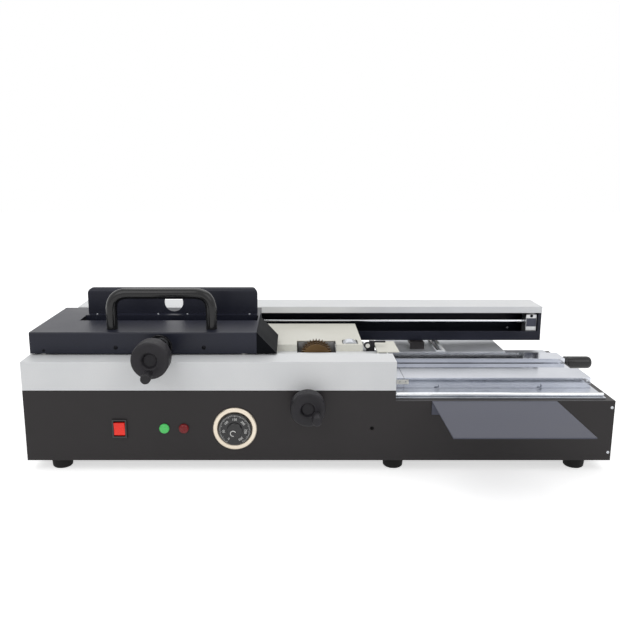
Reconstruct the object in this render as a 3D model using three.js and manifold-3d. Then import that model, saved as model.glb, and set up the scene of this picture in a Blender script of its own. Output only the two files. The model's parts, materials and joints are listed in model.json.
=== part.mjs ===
// Tabletop perfect binding machine with a sliding clamp carriage, in millimetres.
// X runs along the carriage travel, Y from the operator to the back, Z up.
// While it is built, X is zero at the middle of the base, Y at its front panel and Z at the table.
import * as THREE from "three";
import { mergeVertices } from "three/addons/utils/BufferGeometryUtils.js";
import Module from "manifold-3d";

const wasm = await Module();
wasm.setup();

// Gaps and shared stock
const gap = 0.3;
const overrun = 2;
const sheet = 2;
const slotMargin = 2;
const roundSteps = 20;
const fineSteps = 30;
const curveSteps = 10;

// Base housing
const baseLength = 1000;
const baseDepth = 320;
const footHeight = 22;
const footRadius = 19;
const footInset = 50;
const leftTop = 147;
const deckTop = 129;
const stepX = 129;
const flangeWidth = 14;
const left = -baseLength / 2;
const right = baseLength / 2;
const flangeBottom = deckTop - sheet;
const footRows = [footInset - footRadius, baseDepth - footInset + footRadius];
const footColumns = [left + footInset, stepX + sheet + gap, right - footInset];
const accessX = 90;
const accessRadius = 3.5;

// Rear vents and mains inlet
const ventCount = 12;
const ventStart = -120;
const ventPitch = 14;
const ventWidth = 6;
const ventHeight = 40;
const ventBottom = 70;
const inletInset = 70;
const inletX = left + inletInset;
const inletZ = 62;
const inletWidth = 27;
const inletHeight = 20;
const inletFlange = 4;
const inletBody = 24;
const pinRadius = 1.8;
const pinSpread = 7;

// White covers round the milling and gluing well
const stripTop = 197;
const stripDepth = 54;
const wellFloor = 176;
const ledgeFront = 146;
const ledgeTop = 189;
const ledgeEnd = 87;
const coverBottom = leftTop + gap;
const backWall = baseDepth - sheet;
const floorUnder = wellFloor - sheet;
const ledgeUnder = ledgeTop - sheet;
const dripLeft = 110;
const dripRight = 150;
const dripFront = 110;
const dripBack = 187;
const dripTop = 185;

// Milling cutter
const cutterRadius = 30;
const cutterTop = 195;
const cutterFront = 139;
const cutterDepth = 32;
const cutterX = 0;
const cutterZ = cutterTop - cutterRadius;
const cutterSlot = 73;
const discThickness = 3;
const discCount = 3;
const toothCount = 30;
const toothDepth = 4.4;
const toothLeanShare = 0.28;
const arborRadius = 7;
const boreRadius = arborRadius + gap;
const nutRadius = 8;
const nutDepth = 5;
const hubRadius = 11.5;
const collarRadius = 10;

// Milling motor and its sliding plate
const motorRadius = 21;
const motorLength = 108;
const coolingFins = 4;
const finHeight = 2;
const plateY = cutterFront + cutterDepth + slotMargin * 2;
const plateThickness = 6;
const plateHalf = 34;
const plateBottom = 100;
const plateTopGap = 1;
const cradleHalf = 16;
const footThickness = 8;
const millTravel = 10;

// Glue unit
const glueX = 64;
const glueFront = 154.5;
const rollerRadius = 20;
const rollerCrest = 191.5;
const rollerWidth = 27;
const rollerShaft = 5;
const rollerZ = rollerCrest - rollerRadius;
const tankWall = 3;
const tankHeight = 64;
const tankTop = ledgeUnder - sheet - gap;
const tankSide = 29;
const tankGap = 1.5;
const pedestalInset = 12;
const glueMotorFront = 222;
const glueMotorShare = 0.6;
const glueMotorLength = (backWall - glueMotorFront) * glueMotorShare;
const glueMotorHalf = 20;
const glueMotorDrop = 30;
const scraperX = 99;
const scraperWidth = 10;
const scraperTop = 194;
const scraperKnob = 7;
const scraperKnobDepth = 5;
const scraperLever = 20;

// Carriage
const boxLeft = -498;
const boxRight = -107;
const boxFront = 43.5;
const boxBack = 254;
const boxBottom = 199.5;
const boxTop = 237;
const boxBend = 3;
const boxInside = boxTop - sheet;
const slotFront = 137.6;
const guardReach = 35;
const guardEdge = 4;
const axleRadius = 2;
const supportRadius = 7.2;
const supportInset = 23;
const supportWidth = 8;
const supportXs = [boxLeft + supportInset, boxRight - supportInset];
const supportZ = stripTop + gap + supportRadius;
const supportY = boxFront + sheet + gap;

// Clamp jaws and the rear jaw's hood
const jawPlane = 173;
const jawFace = 12;
const jawBottom = boxBottom + sheet;
const clampLeft = -436;
const clampRight = -112;
const clampTravel = 34;
const hoodTop = 288;
const hoodPlane = 193;
const hoodBend = 8;
const hoodCorner = 11;
const hoodHole = 17.8;
const hoodHoleX = -272;
const hoodHoleZ = 260;

// Carrying handle
const handleTube = 9.7;
const handleSpan = 174;
const handleHeight = 73;
const handleBend = 30;
const handleX = -274;
const handleY = 72;
const handleSteps = 28;
const handleSides = 5;

// Clamp screw and its hand wheel
const screwX = -274;
const screwZ = 212;
const screwRadius = 6;
const nutLength = 24;
const bearingDepth = 8;
const bearingRadius = boxTop - boxBend - screwZ;
const wheelRadius = 31;
const wheelDepth = 38;
const wheelFront = -50;
const wheelHub = 12;
const hubReach = 9;
const rimEdgeShare = 0.125;
const recessShare = 0.4;
const crankLength = 38;
const crankRadius = 8;
const neckRadius = 5;
const crankArm = 18.5;

// Milling depth hand wheel, on a snail cam
const depthX = -20;
const depthZ = 128;
const depthRadius = 29;
const depthWheelDepth = 28;
const depthWheelFront = -45;
const depthShaft = 5;
const depthCrankX = 13.3;
const depthCrankZ = 5.6;
const camRadius = 20;
const camTurn = Math.PI * 5 / 3;
const camSteps = 40;
const camWidth = 12;
const camY = 58;

// Guide beam behind the base
const beamOffset = 16;
const beamShort = 14;
const beamLeft = left;
const beamRight = right - beamShort;
const beamFront = baseDepth + beamOffset;
const beamDepth = 79;
const beamBottom = 148;
const beamTop = 222;
const beamWall = 3;
const lipHeight = 20;
const coverLip = 14;
const guideInset = 22;
const guideY = beamFront + guideInset;
const guideZ = 187;
const guideRadius = 4.5;
const blockInset = 8;
const blockLength = 23;
const blockHalf = 14;
const bearingLength = 60;
const armInset = 80;
const armLeft = left + armInset;
const armRight = -150;
const armThick = 6;
const bracketInset = 120;
const bracketStep = 91;
const bracketXs = [left + bracketInset, stepX + bracketStep];
const bracketHalf = 15;
const bracketThick = 6;
const bracketBottom = 60;

// Deck and cover trays
const deckBottom = deckTop + gap;
const deckUpper = deckBottom + sheet;
const openingMargin = 1;
const stopRadius = 3.2;
const trayLeft = 190;
const trayInset = 99;
const trayRight = right - trayInset;
const trayReach = 163;
const trayDrop = 24;
const rearTrayLeft = 140;
const rearTrayReach = 78;
const rearTrayBack = baseDepth + rearTrayReach;
const guideBarX = 256;
const guideBar = 6;
const guideSpread = 13;

// Lever that lifts the nip table
const nipLift = 46;
const leverTurn = Math.PI / 3;
const leverY = 170;
const leverZ = 62;
const columnRadius = 8;
const pivotBoss = 12;
const crankPin = nipLift / 2;
const crankReach = crankPin / Math.tan(leverTurn / 2);
const crankEnd = leverY + crankReach;
const pushRadius = 8;
const leverThick = 6;
const gripY = 258;
const gripZ = 122;
const gripRadius = 12.5;
const gripLength = 57;

// Nip station
const endBlockInset = 9;
const endBlockLeft = stepX + endBlockInset;
const endBlockLength = 14;
const nipLeft = endBlockLeft + endBlockLength;
const nipInset = 18;
const nipRight = right - nipInset;
const nipFront = 62.6;
const nipBack = 230;
const barTop = 150.5;
const frontBarDepth = 57;
const rearBarDepth = 45;
const nipClose = 28;
const barBody = frontBarDepth - nipClose - sheet * 2;
const platformTop = 141.5;
const platformThick = 3;
const tableTop = deckBottom;
const tableThick = 4;
const columnInset = 62;
const columnXs = [nipLeft + columnInset, nipRight - columnInset];
const columnY = 141;
const bushHeight = 76;
const rodXs = [210, 392];
const rodRadius = 4;
const groove = 1.2;
const stopLength = 21;
const yokeXs = [250, 340];
const yokeWidth = 20;
const yokeDepth = 14;

// Panel fittings
const panelZ = 80;
const bezelDepth = 3;
const fittingDepth = 22;
const rockerX = -339;
const rockerWidth = 25;
const rockerHeight = 33;
const rockerRim = 3;
const greenX = -263;
const redX = -230;
const lampRadius = 8.5;
const lampDome = 7;
const lampTip = 4;
const lampHeight = 5.2;
const dialX = -143;
const bezelRadius = 37.5;
const bezelPlate = 4;
const dialRadius = 28.5;
const spindleRadius = 3.5;
const knobRadius = 13;
const knobHeight = 9;
const skirtDepth = 5;

const finishes = {
  blackPaint: { color: 0x2d2b2c, roughness: 0.55, metalness: 0 },
  whitePaint: { color: 0xdfe2e4, roughness: 0.45, metalness: 0 },
  carriagePaint: { color: 0x2b2d39, roughness: 0.4, metalness: 0 },
  stainless: { color: 0xb9bcc2, roughness: 0.3, metalness: 1 },
  chrome: { color: 0xdfe1e4, roughness: 0.12, metalness: 1 },
  toolSteel: { color: 0x7a5736, roughness: 0.45, metalness: 1 },
  castAluminium: { color: 0x9a9c9e, roughness: 0.55, metalness: 1 },
  bakelite: { color: 0x38373b, roughness: 0.5, metalness: 0 },
  rubber: { color: 0x141414, roughness: 0.85, metalness: 0 },
  nylon: { color: 0xe9e8e2, roughness: 0.5, metalness: 0 },
  cream: { color: 0xe6e0c8, roughness: 0.5, metalness: 0 },
  glossBlack: { color: 0x101012, roughness: 0.15, metalness: 0 },
  redLens: { color: 0xc0261c, roughness: 0.25, metalness: 0 },
  greenLens: { color: 0x2fae55, roughness: 0.25, metalness: 0 },
  trayGrey: { color: 0x5c5e6b, roughness: 0.5, metalness: 0 },
};

const machine = new THREE.Group();

// Geometry helpers

// Welds a geometry into one closed body with its faces out.
function weld(geometry) {
  const plain = geometry.index ? geometry.toNonIndexed() : geometry.clone();
  plain.deleteAttribute("normal");
  plain.deleteAttribute("uv");
  const merged = mergeVertices(plain);
  const place = merged.attributes.position;
  const source = merged.index.array;
  const triangles = [];
  let volume = 0;
  const [a, b, c] = [new THREE.Vector3(), new THREE.Vector3(), new THREE.Vector3()];
  for (let i = 0; i < source.length; i += 3) {
    const [p, q, r] = [source[i], source[i + 1], source[i + 2]];
    if (p === q || q === r || r === p) {
      continue;
    }
    a.fromBufferAttribute(place, p);
    b.fromBufferAttribute(place, q);
    c.fromBufferAttribute(place, r);
    volume += a.dot(b.cross(c));
    triangles.push(p, q, r);
  }
  if (volume < 0) {
    triangles.reverse();
  }
  const closed = new THREE.BufferGeometry();
  closed.setAttribute("position", place.clone());
  closed.setIndex(triangles);
  return closed;
}

function toSolid(geometry) {
  const closed = weld(geometry);
  return new wasm.Manifold(new wasm.Mesh({
    numProp: 3,
    vertProperties: new Float32Array(closed.attributes.position.array),
    triVerts: new Uint32Array(closed.index.array),
  }));
}

function fromSolid(solid) {
  const mesh = solid.getMesh();
  const geometry = new THREE.BufferGeometry();
  geometry.setAttribute("position", new THREE.BufferAttribute(new Float32Array(mesh.vertProperties), 3));
  geometry.setIndex(Array.from(mesh.triVerts));
  return geometry;
}

function join(...pieces) {
  return fromSolid(pieces.map(toSolid).reduce((whole, piece) => whole.add(piece)));
}

function cut(body, ...tools) {
  return fromSolid(tools.map(toSolid).reduce((whole, tool) => whole.subtract(tool), toSolid(body)));
}

function common(body, tool) {
  return fromSolid(toSolid(body).intersect(toSolid(tool)));
}

function block(x0, x1, y0, y1, z0, z1) {
  const box = new THREE.BoxGeometry(x1 - x0, y1 - y0, z1 - z0);
  box.translate((x0 + x1) / 2, (y0 + y1) / 2, (z0 + z1) / 2);
  return box;
}

function outline(points) {
  return new THREE.Shape(points.map(([u, v]) => new THREE.Vector2(u, v)));
}

function extrude(shape, length) {
  return new THREE.ExtrudeGeometry(shape, { depth: length, bevelEnabled: false,
    curveSegments: curveSteps });
}

// An outline in Y and Z, run along X.
function alongX(shape, x0, x1) {
  const axes = new THREE.Matrix4().makeBasis(
    new THREE.Vector3(0, 1, 0),
    new THREE.Vector3(0, 0, 1),
    new THREE.Vector3(1, 0, 0),
  );
  return extrude(shape, x1 - x0).applyMatrix4(axes).translate(x0, 0, 0);
}

// An outline in X and Z, run along Y.
function alongY(shape, y0, y1) {
  return extrude(shape, y1 - y0).rotateX(Math.PI / 2).translate(0, y1, 0);
}

// An outline in X and Y, run along Z.
function alongZ(shape, z0, z1) {
  return extrude(shape, z1 - z0).translate(0, 0, z0);
}

function lathe(profile, steps = roundSteps) {
  return new THREE.LatheGeometry(profile.map(([r, h]) => new THREE.Vector2(r, h)), steps);
}

// Profiles of radius and height, turned about an axis along Y, Z or X.
function turnedY(profile, x, z, steps) {
  return lathe(profile, steps).translate(x, 0, z);
}

function turnedZ(profile, x, y, steps) {
  return lathe(profile, steps).rotateX(Math.PI / 2).translate(x, y, 0);
}

function turnedX(profile, y, z, steps) {
  return lathe(profile, steps).rotateZ(-Math.PI / 2).translate(0, y, z);
}

function barProfile(radius, from, to) {
  return [[0, from], [radius, from], [radius, to], [0, to]];
}

function ringProfile(inner, outer, from, to) {
  return [[inner, from], [outer, from], [outer, to], [inner, to], [inner, from]];
}

function roundRod(axis, radius, from, to, u, v) {
  const turn = { x: turnedX, y: turnedY, z: turnedZ }[axis];
  return turn(barProfile(radius, from, to), u, v);
}

function add(name, geometry, finish) {
  const mesh = new THREE.Mesh(weld(geometry), new THREE.MeshStandardMaterial(finishes[finish]));
  mesh.name = name;
  machine.add(mesh);
}

// Base housing

function buildChassis() {
  const floorTop = footHeight + sheet;
  const profile = outline([
    [left, footHeight], [right, footHeight], [right, deckTop], [right - flangeWidth, deckTop],
    [right - flangeWidth, flangeBottom], [right - sheet, flangeBottom], [right - sheet, floorTop],
    [left + sheet, floorTop], [left + sheet, leftTop], [left, leftTop],
  ]);
  const shell = alongY(profile, sheet + gap, baseDepth - sheet - gap);
  const bushes = columnXs.map((x) => turnedZ(
    ringProfile(columnRadius + gap, columnRadius + gap + sheet * 2, floorTop - sheet / 2,
      floorTop + bushHeight),
    x, columnY,
  ));
  const pivotHole = roundRod("x", columnRadius + gap, right - sheet - overrun, right + overrun, leverY,
    leverZ);
  add("chassis", cut(join(shell, ...bushes), pivotHole), "blackPaint");
}

function steppedPanel(y0, y1) {
  return alongY(outline([
    [left, footHeight], [right, footHeight], [right, deckTop], [stepX, deckTop], [stepX, leftTop],
    [left, leftTop],
  ]), y0, y1);
}

function buildPanels() {
  const through = [-overrun, sheet + overrun];
  const flange = block(stepX, right - flangeWidth, sheet / 2, flangeWidth, flangeBottom, deckTop);
  const holes = [
    block(rockerX - rockerWidth / 2 + sheet, rockerX + rockerWidth / 2 - sheet, ...through,
      panelZ - rockerHeight / 2 + sheet, panelZ + rockerHeight / 2 - sheet),
    ...[greenX, redX].map((x) => roundRod("y", lampRadius - sheet, ...through, x, panelZ)),
    roundRod("y", spindleRadius + gap, ...through, dialX, panelZ),
    roundRod("y", depthShaft + gap, ...through, depthX, depthZ),
    roundRod("y", accessRadius, ...through, accessX, panelZ),
  ];
  add("front_panel", cut(join(steppedPanel(0, sheet), flange), ...holes), "blackPaint");

  const behind = [baseDepth - sheet - overrun, baseDepth + overrun];
  const slots = [];
  for (let i = 0; i < ventCount; i += 1) {
    const x = ventStart + i * ventPitch;
    slots.push(block(x, x + ventWidth, ...behind, ventBottom, ventBottom + ventHeight));
  }
  const inletHole = block(inletX - inletWidth / 2, inletX + inletWidth / 2, ...behind,
    inletZ - inletHeight / 2, inletZ + inletHeight / 2);
  add("rear_panel", cut(steppedPanel(baseDepth - sheet, baseDepth), inletHole, ...slots), "blackPaint");
}

function buildInlet() {
  const half = inletWidth / 2 - gap;
  const tall = inletHeight / 2 - gap;
  const body = block(inletX - half, inletX + half, baseDepth - inletBody, baseDepth + gap + sheet,
    inletZ - tall, inletZ + tall);
  const rim = block(inletX - half - inletFlange, inletX + half + inletFlange, baseDepth + gap,
    baseDepth + gap + sheet, inletZ - tall - inletFlange, inletZ + tall + inletFlange);
  const pocket = block(inletX - half + sheet, inletX + half - sheet, baseDepth - inletBody + inletFlange,
    baseDepth + inletFlange, inletZ - tall + sheet, inletZ + tall - sheet);
  const pins = [-pinSpread, 0, pinSpread].map((dx) => roundRod("y", pinRadius,
    baseDepth - inletBody + sheet, baseDepth - sheet, inletX + dx,
    inletZ + (dx === 0 ? pinRadius : -pinRadius)));
  add("power_inlet", join(cut(join(body, rim), pocket), ...pins), "glossBlack");
}

function buildFeet() {
  const profile = [
    [0, 0], [footRadius - sheet * 2, 0], [footRadius - sheet, sheet], [footRadius, footHeight - gap],
    [0, footHeight - gap],
  ];
  let number = 0;
  for (const y of footRows) {
    for (const x of footColumns) {
      number += 1;
      add(`foot_${number}`, turnedZ(profile, x, y), "rubber");
    }
  }
}

// White covers

function cutterSlotTool() {
  return block(cutterX - cutterSlot / 2, cutterX + cutterSlot / 2, cutterFront - slotMargin,
    cutterFront + cutterDepth + slotMargin * 2, floorUnder - overrun, ledgeTop + overrun);
}

function buildCovers() {
  const wellEdge = ledgeFront - gap;
  const wallMiddle = stripDepth - sheet / 2;
  const profile = outline([
    [0, coverBottom], [sheet, coverBottom], [sheet, stripTop - sheet],
    [stripDepth - sheet, stripTop - sheet],
    [stripDepth - sheet, floorUnder], [wellEdge, floorUnder], [wellEdge, wellFloor],
    [stripDepth, wellFloor],
    [stripDepth, stripTop], [0, stripTop],
  ]);
  const folded = alongX(profile, left, stepX);
  const skin = sheet / 2;
  const leftEnd = alongX(outline([
    [skin, coverBottom + skin], [backWall + sheet, coverBottom + skin],
    [backWall + sheet, ledgeUnder - gap],
    [wallMiddle, ledgeUnder - gap], [wallMiddle, stripTop - skin], [skin, stripTop - skin],
  ]), left, left + sheet);
  const endBottom = deckTop + sheet + gap * 2;
  const rightEnd = alongX(outline([
    [sheet + gap, endBottom], [dripBack, endBottom], [dripBack, dripTop - sheet - gap],
    [wallMiddle, dripTop - sheet - gap], [wallMiddle, stripTop - skin], [skin, stripTop - skin],
    [skin, coverBottom + skin], [sheet + gap, coverBottom + skin],
  ]), stepX - sheet, stepX);
  add("front_cover", cut(join(folded, leftEnd, rightEnd), cutterSlotTool()), "whitePaint");

  const ledge = alongX(outline([
    [ledgeFront, floorUnder], [ledgeFront + sheet, floorUnder], [ledgeFront + sheet, ledgeUnder],
    [backWall, ledgeUnder], [backWall, coverBottom], [backWall + sheet, coverBottom],
    [backWall + sheet, ledgeTop], [ledgeFront, ledgeTop],
  ]), left + sheet + gap, ledgeEnd);
  const half = Math.sqrt(rollerRadius ** 2 - (ledgeUnder - rollerZ) ** 2) + slotMargin;
  const rollerSlot = block(glueX - half, glueX + half, glueFront - slotMargin,
    glueFront + rollerWidth + slotMargin, ledgeUnder - overrun, ledgeTop + overrun);
  add("rear_cover", cut(ledge, cutterSlotTool(), rollerSlot), "whitePaint");

  const drip = block(dripLeft, dripRight, dripFront, dripBack, dripTop - sheet, dripTop);
  const hem = block(dripLeft, dripLeft + sheet, dripFront, dripBack, dripTop - sheet * 2, dripTop);
  add("drip_plate", join(drip, hem), "cream");
}

// Milling unit

function buildMill() {
  const plateTop = ledgeUnder - plateTopGap;
  const plate = block(cutterX - plateHalf, cutterX + plateHalf, plateY, plateY + plateThickness,
    plateBottom, plateTop);
  const armFront = camY + camWidth + gap + sheet;
  const arm = block(depthX - cradleHalf, depthX + cradleHalf, armFront, plateY + plateThickness / 2,
    plateBottom, plateBottom + plateThickness);
  const followerZ = depthZ + camRadius + gap;
  const riser = block(depthX - cradleHalf, depthX + cradleHalf, armFront, armFront + plateThickness,
    plateBottom, followerZ + footThickness);
  const follower = block(depthX - cradleHalf / 2, depthX + cradleHalf / 2, camY, armFront + plateThickness,
    followerZ, followerZ + footThickness);
  const start = plateY + plateThickness - sheet / 2;
  const finPitch = motorLength / (coolingFins + 2);
  const motorProfile = [[0, start], [motorRadius, start]];
  for (let i = 1; i <= coolingFins; i += 1) {
    const y = start + finPitch * (i + 0.5);
    motorProfile.push([motorRadius, y - finHeight], [motorRadius - finHeight, y - finHeight]);
    motorProfile.push([motorRadius - finHeight, y], [motorRadius, y]);
  }
  motorProfile.push([motorRadius, start + motorLength - sheet * 2]);
  motorProfile.push([motorRadius - sheet * 2, start + motorLength], [0, start + motorLength]);
  const motor = turnedY(motorProfile, cutterX, cutterZ);
  const bore = roundRod("y", boreRadius, plateY - overrun, plateY + plateThickness + arborRadius + gap * 2,
    cutterX, cutterZ);
  add("mill_motor", cut(join(plate, arm, riser, follower, motor), bore), "castAluminium");

  const nutStart = cutterFront - nutDepth;
  const arborEnd = plateY + plateThickness + arborRadius;
  const arbor = turnedY([
    [0, nutStart], [nutRadius, nutStart], [nutRadius, cutterFront - gap], [arborRadius, cutterFront - gap],
    [arborRadius, cutterFront + cutterDepth + gap], [collarRadius, cutterFront + cutterDepth + gap],
    [collarRadius, plateY - gap], [arborRadius, plateY - gap], [arborRadius, arborEnd], [0, arborEnd],
  ], cutterX, cutterZ);
  add("cutter_arbor", arbor, "stainless");

  const points = [];
  for (let i = 0; i < toothCount; i += 1) {
    const start = (i / toothCount) * Math.PI * 2 + Math.PI / 2;
    const lean = (toothLeanShare / toothCount) * Math.PI * 2;
    const root = cutterRadius - toothDepth;
    points.push([cutterRadius * Math.cos(start), cutterRadius * Math.sin(start)]);
    points.push([root * Math.cos(start + lean), root * Math.sin(start + lean)]);
    const heel = start + (1 / toothCount) * Math.PI * 2 - lean;
    points.push([root * Math.cos(heel), root * Math.sin(heel)]);
  }
  const disc = outline(points.map(([x, z]) => [x + cutterX, z + cutterZ]));
  const discPitch = (cutterDepth - discThickness) / (discCount - 1);
  const discs = [];
  for (let i = 0; i < discCount; i += 1) {
    const y = cutterFront + i * discPitch;
    discs.push(alongY(disc, y, y + discThickness));
  }
  const hub = roundRod("y", hubRadius, cutterFront, cutterFront + cutterDepth, cutterX, cutterZ);
  const cutterBore = roundRod("y", boreRadius, cutterFront - overrun, cutterFront + cutterDepth + overrun,
    cutterX, cutterZ);
  add("milling_cutter", cut(join(hub, ...discs), cutterBore), "toolSteel");
}

// Glue tank, roller and scraper

function buildGlue() {
  const [x0, x1] = [glueX - tankSide, glueX + tankSide];
  const y0 = glueFront - tankGap - tankWall;
  const y1 = glueFront + rollerWidth + tankGap + tankWall;
  const z0 = tankTop - tankHeight;
  const outer = block(x0, x1, y0, y1, z0, tankTop);
  const inner = block(x0 + tankWall, x1 - tankWall, y0 + tankWall, y1 - tankWall, z0 + tankWall,
    tankTop + overrun);
  const shaftHole = roundRod("y", rollerShaft + gap, y0 - overrun, y1 + overrun, glueX, rollerZ);
  const pedestal = block(x0 + pedestalInset, x1 - pedestalInset, y0 + tankWall, y1 - tankWall,
    footHeight + sheet + gap, z0 + sheet / 2);
  add("glue_tank", join(cut(outer, inner, shaftHole), pedestal), "castAluminium");

  const roller = turnedY([
    [0, y0], [rollerShaft, y0], [rollerShaft, glueFront], [rollerRadius, glueFront],
    [rollerRadius, glueFront + rollerWidth], [rollerShaft, glueFront + rollerWidth],
    [rollerShaft, glueMotorFront + tankWall], [0, glueMotorFront + tankWall],
  ], glueX, rollerZ, fineSteps);
  add("glue_roller", roller, "stainless");

  const motorTop = ledgeUnder - gap;
  const gearbox = block(glueX - glueMotorHalf, glueX + glueMotorHalf, glueMotorFront,
    glueMotorFront + glueMotorHalf, motorTop - glueMotorDrop - glueMotorHalf, motorTop);
  const can = roundRod("y", glueMotorHalf - sheet, glueMotorFront + glueMotorHalf - sheet,
    glueMotorFront + glueMotorLength, glueX, motorTop - glueMotorHalf - sheet);
  const socket = roundRod("y", rollerShaft + gap, glueMotorFront - overrun, glueMotorFront + tankWall + gap,
    glueX, rollerZ);
  add("glue_motor", cut(join(gearbox, can), socket), "castAluminium");

  const postFront = ledgeFront + sheet + gap;
  const scraperZ = scraperTop - scraperKnob;
  const knobFront = postFront - scraperKnobDepth + sheet / 2;
  const post = block(scraperX, scraperX + scraperWidth, postFront, postFront + scraperWidth,
    tankTop - scraperWidth, scraperTop);
  const seat = block(x1 + gap, scraperX + scraperWidth, postFront, postFront + scraperWidth * 2,
    tankTop - scraperWidth * 2, tankTop - scraperWidth / 2);
  const lever = block(scraperX, scraperX + scraperWidth + scraperLever, postFront, postFront + sheet * 2,
    scraperTop - sheet, scraperTop + sheet / 2);
  const knob = turnedY([
    [0, knobFront], [scraperKnob - sheet, knobFront], [scraperKnob, knobFront + sheet],
    [scraperKnob, knobFront + scraperKnobDepth], [0, knobFront + scraperKnobDepth],
  ], scraperX - scraperKnob / 2, scraperZ);
  add("scraper_bracket", join(post, seat, lever, knob), "bakelite");
}

// Carriage

function buildCarriageBox() {
  const shape = new THREE.Shape();
  shape.moveTo(boxFront, boxBottom);
  shape.lineTo(boxFront, boxTop - boxBend);
  shape.absarc(boxFront + boxBend, boxTop - boxBend, boxBend, Math.PI, Math.PI / 2, true);
  shape.lineTo(boxBack, boxTop);
  shape.lineTo(boxBack, boxBottom);
  shape.lineTo(boxBack - sheet, boxBottom);
  shape.lineTo(boxBack - sheet, boxInside);
  shape.lineTo(boxFront + sheet, boxInside);
  shape.lineTo(boxFront + sheet, boxBottom);
  const shell = alongX(shape, boxLeft, boxRight);
  const walls = [boxLeft, boxRight - sheet].map((x) => block(x, x + sheet, boxFront + sheet / 2,
    boxBack - sheet / 2, boxBottom, boxTop - sheet / 2));
  const slot = block(clampLeft - sheet, clampRight + sheet, slotFront, jawPlane + jawFace / 2 + gap,
    boxInside - overrun, boxTop + overrun);
  const screwHole = roundRod("y", screwRadius + gap, boxFront - overrun, boxFront + sheet + overrun,
    screwX, screwZ);
  const axles = supportXs.map((x) => roundRod("y", axleRadius, boxFront + sheet / 2,
    supportY + supportWidth + sheet, x, supportZ));
  add("carriage_box", join(cut(join(shell, ...walls), slot, screwHole), ...axles), "carriagePaint");

  supportXs.forEach((x, i) => {
    const ring = ringProfile(axleRadius + gap, supportRadius, supportY, supportY + supportWidth);
    add(`support_roller_${i + 1}`, turnedY(ring, x, supportZ), "nylon");
  });
}

function buildEndGuard() {
  const guardBack = jawPlane + jawFace / 2;
  const x0 = boxRight + gap;
  const x1 = boxRight + guardReach;
  const outer = alongY(outline([[x0, boxBottom], [x1, boxBottom], [x0, boxTop]]), boxFront, guardBack);
  const slope = (x1 - x0) / (boxTop - boxBottom);
  const inner = alongY(outline([
    [x0 + sheet, boxBottom - overrun], [x1 - guardEdge + overrun * slope, boxBottom - overrun],
    [x0 + sheet, boxTop - guardEdge - sheet],
  ]), boxFront + sheet, guardBack + overrun);
  add("end_guard", cut(outer, inner), "carriagePaint");
}

function buildRearJaw() {
  const flangeZ = boxTop + gap;
  const web = jawFace / 2;
  const shape = new THREE.Shape();
  shape.moveTo(jawPlane, jawBottom);
  shape.lineTo(jawPlane, flangeZ + sheet);
  shape.lineTo(hoodPlane, flangeZ + sheet);
  shape.lineTo(hoodPlane, hoodTop - hoodBend);
  shape.absarc(hoodPlane + hoodBend, hoodTop - hoodBend, hoodBend, Math.PI, Math.PI / 2, true);
  shape.lineTo(hoodPlane + hoodBend + sheet, hoodTop);
  shape.lineTo(hoodPlane + hoodBend + sheet, hoodTop - sheet);
  shape.lineTo(hoodPlane + hoodBend, hoodTop - sheet);
  shape.absarc(hoodPlane + hoodBend, hoodTop - hoodBend, hoodBend - sheet, Math.PI / 2, Math.PI, false);
  shape.lineTo(hoodPlane + sheet, flangeZ);
  shape.lineTo(jawPlane + web, flangeZ);
  shape.lineTo(jawPlane + web, jawBottom);
  const folded = alongX(shape, clampLeft, clampRight);
  const deep = [jawPlane - overrun, hoodPlane + hoodBend + sheet + overrun];
  const face = new THREE.Shape();
  face.moveTo(clampLeft, jawBottom - overrun);
  face.lineTo(clampRight, jawBottom - overrun);
  face.lineTo(clampRight, hoodTop - hoodCorner);
  face.absarc(clampRight - hoodCorner, hoodTop - hoodCorner, hoodCorner, 0, Math.PI / 2, false);
  face.lineTo(clampLeft + hoodCorner, hoodTop);
  face.absarc(clampLeft + hoodCorner, hoodTop - hoodCorner, hoodCorner, Math.PI / 2, Math.PI, false);
  const trimmed = common(folded, alongY(face, ...deep));
  const hole = roundRod("y", hoodHole, ...deep, hoodHoleX, hoodHoleZ);
  add("rear_jaw", cut(trimmed, hole), "carriagePaint");
}

function buildFrontJaw() {
  const jawBack = slotFront - gap;
  const jawTop = boxInside - gap * 2;
  const x0 = clampLeft + sheet;
  const x1 = clampRight - sheet;
  const bar = block(x0, x1, jawBack - jawFace, jawBack, jawBottom, jawTop);
  const nutBack = jawBack - jawFace / 2;
  const nutFront = nutBack - clampTravel - nutLength;
  const tube = roundRod("y", screwRadius + gap + sheet * 2, nutFront, nutBack, screwX, screwZ);
  const room = roundRod("y", screwRadius + gap, nutFront - overrun, nutBack - sheet, screwX, screwZ);
  add("front_jaw", cut(join(bar, tube), room), "stainless");
  return nutBack - sheet * 2;
}

function handWheel(radius, depth, front, x, z, hubLength) {
  const edge = radius * rimEdgeShare;
  const recess = radius * recessShare;
  const back = front + depth;
  const profile = [
    [0, front + edge * 2], [recess - edge / 2, front + edge * 2], [recess, front + edge / 4],
    [recess + edge / 2, front], [radius - edge, front], [radius - edge / 4, front + edge / 3],
    [radius, front + edge], [radius, back - edge], [radius - edge, back], [wheelHub, back],
    [wheelHub, back + hubLength], [0, back + hubLength],
  ];
  return turnedY(profile, x, z, fineSteps);
}

function crankKnob(front, x, z) {
  const tip = front - gap - crankLength;
  return turnedY([
    [0, tip], [crankRadius - sheet, tip], [crankRadius, tip + sheet], [crankRadius, tip + crankLength / 2],
    [neckRadius, front - gap - sheet], [neckRadius, front - gap], [0, front - gap],
  ], x, z);
}

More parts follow.
